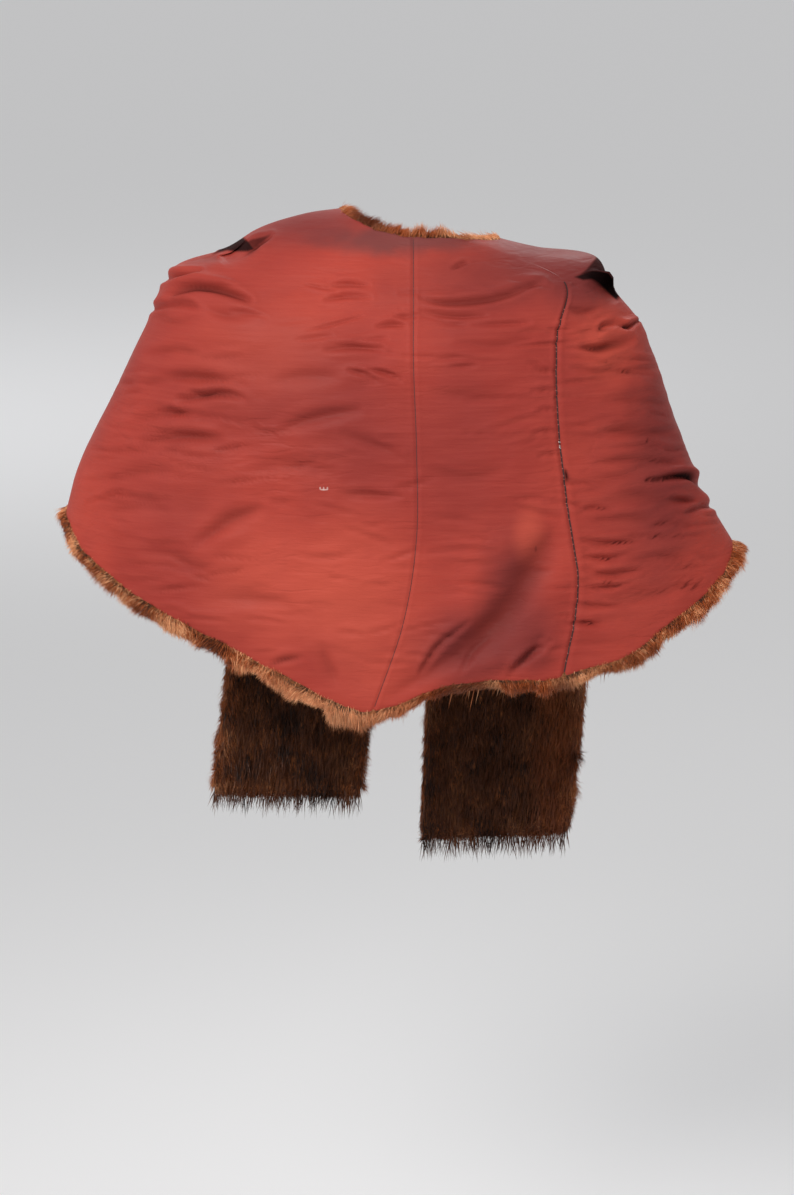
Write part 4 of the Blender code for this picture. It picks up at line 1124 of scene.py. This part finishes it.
def make_fur(name, start, end, tail, hem_from, hem_to, counts):
    pelt = Pelt()
    rows, cols = cape_rows(), thin_out(np.arange(start, end + 1), 3)
    inside = body_inner[np.ix_(rows, cols)]
    pelt.add(inside)
    swell = hem_swell(hem_rim(hem_from, hem_to)[0])
    pelt.add(rim(*hem_rim(hem_from, hem_to), RIM_HEM, swell))
    pelt.add(rim(*neck_rim(start, end), RIM_NECK))
    down = unit(np.gradient(body, axis=0))
    inner_down, inner_normal = down[np.ix_(rows, cols)], -normals[np.ix_(rows, cols)]
    hem_hairs = rim_hairs(*hem_rim(hem_from, hem_to), RIM_HEM, counts["hem"], HEM_WEIGHTS, 13.0, 0.85, seed=counts["seed"], swell=swell)
    neck_hairs = rim_hairs(*neck_rim(start, end), RIM_NECK, counts["neck"], NECK_WEIGHTS, 14.0, 0.60, width=0.42, clump=6.0, seed=counts["seed"] + 1, stand=0.20, spread=0.14, gather=0.25)
    joined(name + ".hair_hem", [hem_hairs], HAIR_HEM)
    joined(name + ".hair_neck", [neck_hairs], HAIR_NECK)
    groups = [inner_hairs(inside, inner_normal, inner_down, counts["inside"], 24.0, 1.5, counts["seed"] + 2)]
    if tail:
        t, side = TAILS[tail], full_side[tail]
        tail_cols = thin_out(np.arange(len(t["cols"])), 2)
        tail_inside = (t["grid"] - t["normals"] * INNER)[:, tail_cols]
        pelt.add(tail_inside[:-2])
        tail_down = unit(np.gradient(t["grid"], axis=0))[:, tail_cols]
        pelt.add(rim(side["line"], side["outward"], side["normal"], RIM_EDGE))
        for which in ("outer", "end"):
            e = side[which]
            pelt.add(rim(e["line"], e["outward"], e["normal"], RIM_EDGE if which == "outer" else RIM_HEM))
        edges = [
            rim_hairs(side["line"], side["outward"], side["normal"], RIM_EDGE, counts["edge"], EDGE_WEIGHTS, 11.0, 0.45, seed=counts["seed"] + 3, down=0.75),
            rim_hairs(side["outer"]["line"], side["outer"]["outward"], side["outer"]["normal"], RIM_EDGE, counts["outer"], EDGE_WEIGHTS, 12.0, 0.40, seed=counts["seed"] + 4, down=0.80),
            rim_hairs(side["end"]["line"], side["end"]["outward"], side["end"]["normal"], RIM_HEM, counts["end"], HEM_WEIGHTS, 10.5, 0.7, clump=7.0, seed=counts["seed"] + 5, spread=0.20, gather=0.25),
        ]
        joined(name + ".hair_edge", edges, HAIR_EDGE)
        joined(name + ".hair_panel", [inner_hairs(tail_inside, -t["normals"][:, tail_cols], tail_down, counts["tail"], 17.0, 0.8, counts["seed"] + 6)], HAIR_TAIL_PAINTED_SHADE)
    joined(name + ".hair_inside", groups, HAIR_INSIDE)
    pelt.build(name)


C_TAIL_L, C_TAIL_R = last_of("tail_left"), first_of("tail_right")
make_fur("fur_back", C_LEFT, C_RIGHT, None, C_LEFT, C_RIGHT,
         {"hem": 52000, "neck": 15000, "inside": 14000, "seed": 101})
make_fur("fur_front_right", C_RIGHT, C_LAST, "right", C_RIGHT, C_TAIL_R,
         {"hem": 34000, "neck": 11000, "inside": 10000, "edge": 12000, "outer": 6000, "end": 6000, "tail": 12000, "seed": 201})
make_fur("fur_front_left", C_FIRST, C_LEFT, "left", C_TAIL_L, C_LEFT,
         {"hem": 4000, "neck": 4000, "inside": 4000, "edge": 11000, "outer": 5000, "end": 5000, "tail": 9000, "seed": 301})


# ======================================================================================================
# Stitching
# ======================================================================================================
CB_THREAD = thread("seam_thread", (0.085, 0.014, 0.013))
SLIT = thread("seam_slit", (0.030, 0.006, 0.006))
FELL = thread("felling_thread", (0.52, 0.150, 0.120))
LOOSE = thread("loose_thread", (0.72, 0.66, 0.62))


def ribbon(line, across, width, lift, normal):
    """A narrow strip that follows a line."""
    a, b = line - across * width / 2 + normal * lift, line + across * width / 2 + normal * lift
    return np.stack([a, b], 1)


def seam_strip(name, key, width, lift, material, rows):
    col = first_of(key)
    line = formed[rows, col]
    across = unit(formed[rows, col + 1] - formed[rows, col - 1])
    grid = ribbon(line, across, width, lift, normals[rows, col])
    obj = new_object(name, grid.reshape(-1, 3), grid_faces(grid.shape[0], 2), material)
    return obj


def stitches(name, key, every, long, wide, lift, slant, material, first=0.0, last=1.0, seed=9):
    """Short stitches across or along a seam."""
    own = np.random.default_rng(seed)
    col = first_of(key)
    line, n = formed[:, col], normals[:, col]
    arc = np.concatenate([[0], np.cumsum(np.linalg.norm(np.diff(line, axis=0), axis=1))])
    at = np.arange(arc[-1] * first, arc[-1] * last, every)
    at = at + own.uniform(-0.25, 0.25, len(at)) * every
    place = np.interp(at, arc, np.arange(len(arc)))
    p, m = between_points(line, place), unit(between_points(n, place))
    way = unit(between_points(np.gradient(line, axis=0), place))
    side = unit(np.cross(m, way))
    turn = slant + own.normal(0, 0.12, len(at))
    d = way * np.cos(turn)[:, None] + side * np.sin(turn)[:, None]
    e = unit(np.cross(m, d))
    size = long * own.uniform(0.75, 1.2, len(at))
    up = m * lift
    quads = np.stack([
        p - d * size[:, None] / 2 - e * wide / 2 + up * 0.2, p - d * size[:, None] / 2 + e * wide / 2 + up * 0.2,
        p - e * wide / 2 + up, p + e * wide / 2 + up,
        p + d * size[:, None] / 2 - e * wide / 2 + up * 0.2, p + d * size[:, None] / 2 + e * wide / 2 + up * 0.2], 1)
    base = (np.arange(len(at)) * 6)[:, None]
    faces = np.concatenate([base + [0, 1, 3, 2], base + [2, 3, 5, 4]], 1).reshape(-1, 4)
    obj = new_object(name, quads.reshape(-1, 3), faces, material)
    return obj


all_rows = np.arange(1, len(formed) - 1)
seam_strip("seam_back_line", "back_seam", 0.75, 0.12, CB_THREAD, all_rows)
seam_strip("seam_right_line", "right_seam", 1.5, 0.50, SLIT, np.flatnonzero(ROWS_BODY > 1.92)[:-1])
seam_strip("seam_left_line", "left_seam", 0.9, 0.15, CB_THREAD, all_rows)
stitches("seam_right_felling", "right_seam", 6.1, 2.3, 0.45, 0.7, 1.2, FELL, 0.26, 0.98)
stitches("seam_right_loose", "right_seam", 3.0, 2.6, 0.5, 1.1, 1.1, LOOSE, 0.530, 0.545, 12)

# ======================================================================================================
# Stage, light and camera
# ======================================================================================================
scene = bpy.context.scene


def plain(name, colour, roughness):
    m = bpy.data.materials.new(name)
    m.use_nodes = True
    shader = m.node_tree.nodes["Principled BSDF"]
    shader.inputs["Base Color"].default_value = (*colour, 1.0)
    shader.inputs["Roughness"].default_value = roughness
    shader.inputs["Metallic"].default_value = 0.0
    shader.inputs["Specular IOR Level"].default_value = 0.2
    return m


floor_mesh = bpy.data.meshes.new("floor")
wide, low = 90.0, -1.45
floor_mesh.from_pydata([(-wide, -wide, low), (wide, -wide, low), (wide, wide, low), (-wide, wide, low)], [], [(0, 1, 2, 3)])
floor_mesh.materials.append(plain("floor", (0.88, 0.88, 0.89), 0.9))
floor = bpy.data.objects.new("floor", floor_mesh)
scene.collection.objects.link(floor)
floor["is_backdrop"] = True

world = bpy.data.worlds.new("studio")
scene.world = world
world.use_nodes = True
back = world.node_tree.nodes["Background"]
tree = world.node_tree
ray = tree.nodes.new("ShaderNodeTexCoord")
apart = tree.nodes.new("ShaderNodeSeparateXYZ")
tree.links.new(ray.outputs["Generated"], apart.inputs[0])
across = tree.nodes.new("ShaderNodeMapRange")
tree.links.new(apart.outputs["X"], across.inputs["Value"])
for key, value in (("From Min", -1.0), ("From Max", 1.0), ("To Min", 0.82), ("To Max", 0.42)):
    across.inputs[key].default_value = value
tree.links.new(across.outputs["Result"], back.inputs["Strength"])
back.inputs["Color"].default_value = (0.98, 0.98, 0.98, 1.0)


def area(name, at, to, size, power, colour=(1.0, 1.0, 1.0)):
    data = bpy.data.lights.new(name, "AREA")
    data.shape, data.size, data.energy, data.color = "SQUARE", size, power, colour
    data.spread = math.radians(75)
    obj = bpy.data.objects.new(name, data)
    obj.location = at
    obj.rotation_euler = (Vector(to) - Vector(at)).to_track_quat("-Z", "Y").to_euler()
    scene.collection.objects.link(obj)
    return obj


area("key", (-1.2, -2.7, 1.9), (0.0, 0.0, -0.25), 1.1, 15.0, (1.0, 0.98, 0.95))
area("fill", (2.2, -2.4, 0.6), (0.0, 0.0, -0.25), 2.0, 1.6, (0.96, 0.98, 1.0))
area("rear", (0.6, 2.8, 1.8), (0.0, 0.0, -0.3), 2.0, 7.5, (1.0, 1.0, 1.0))
area("backdrop", (-1.9, 5.0, 2.6), (-1.7, 8.0, -1.45), 3.0, 13.5, (0.97, 0.98, 1.0))

cam_data = bpy.data.cameras.new("camera")
cam_data.lens = CAMERA_SCALE / 1195.0 * 36.0
cam_data.sensor_width = 36.0
cam_data.sensor_fit = "AUTO"
camera = bpy.data.objects.new("camera", cam_data)
camera.location = [v * MM for v in CAMERA_MM]
camera.rotation_euler = (math.radians(90) - CAMERA_DOWN, 0.0, 0.0)
scene.collection.objects.link(camera)
scene.camera = camera
scene.view_settings.view_transform = "Standard"
scene.view_settings.look = "None"

low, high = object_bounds()
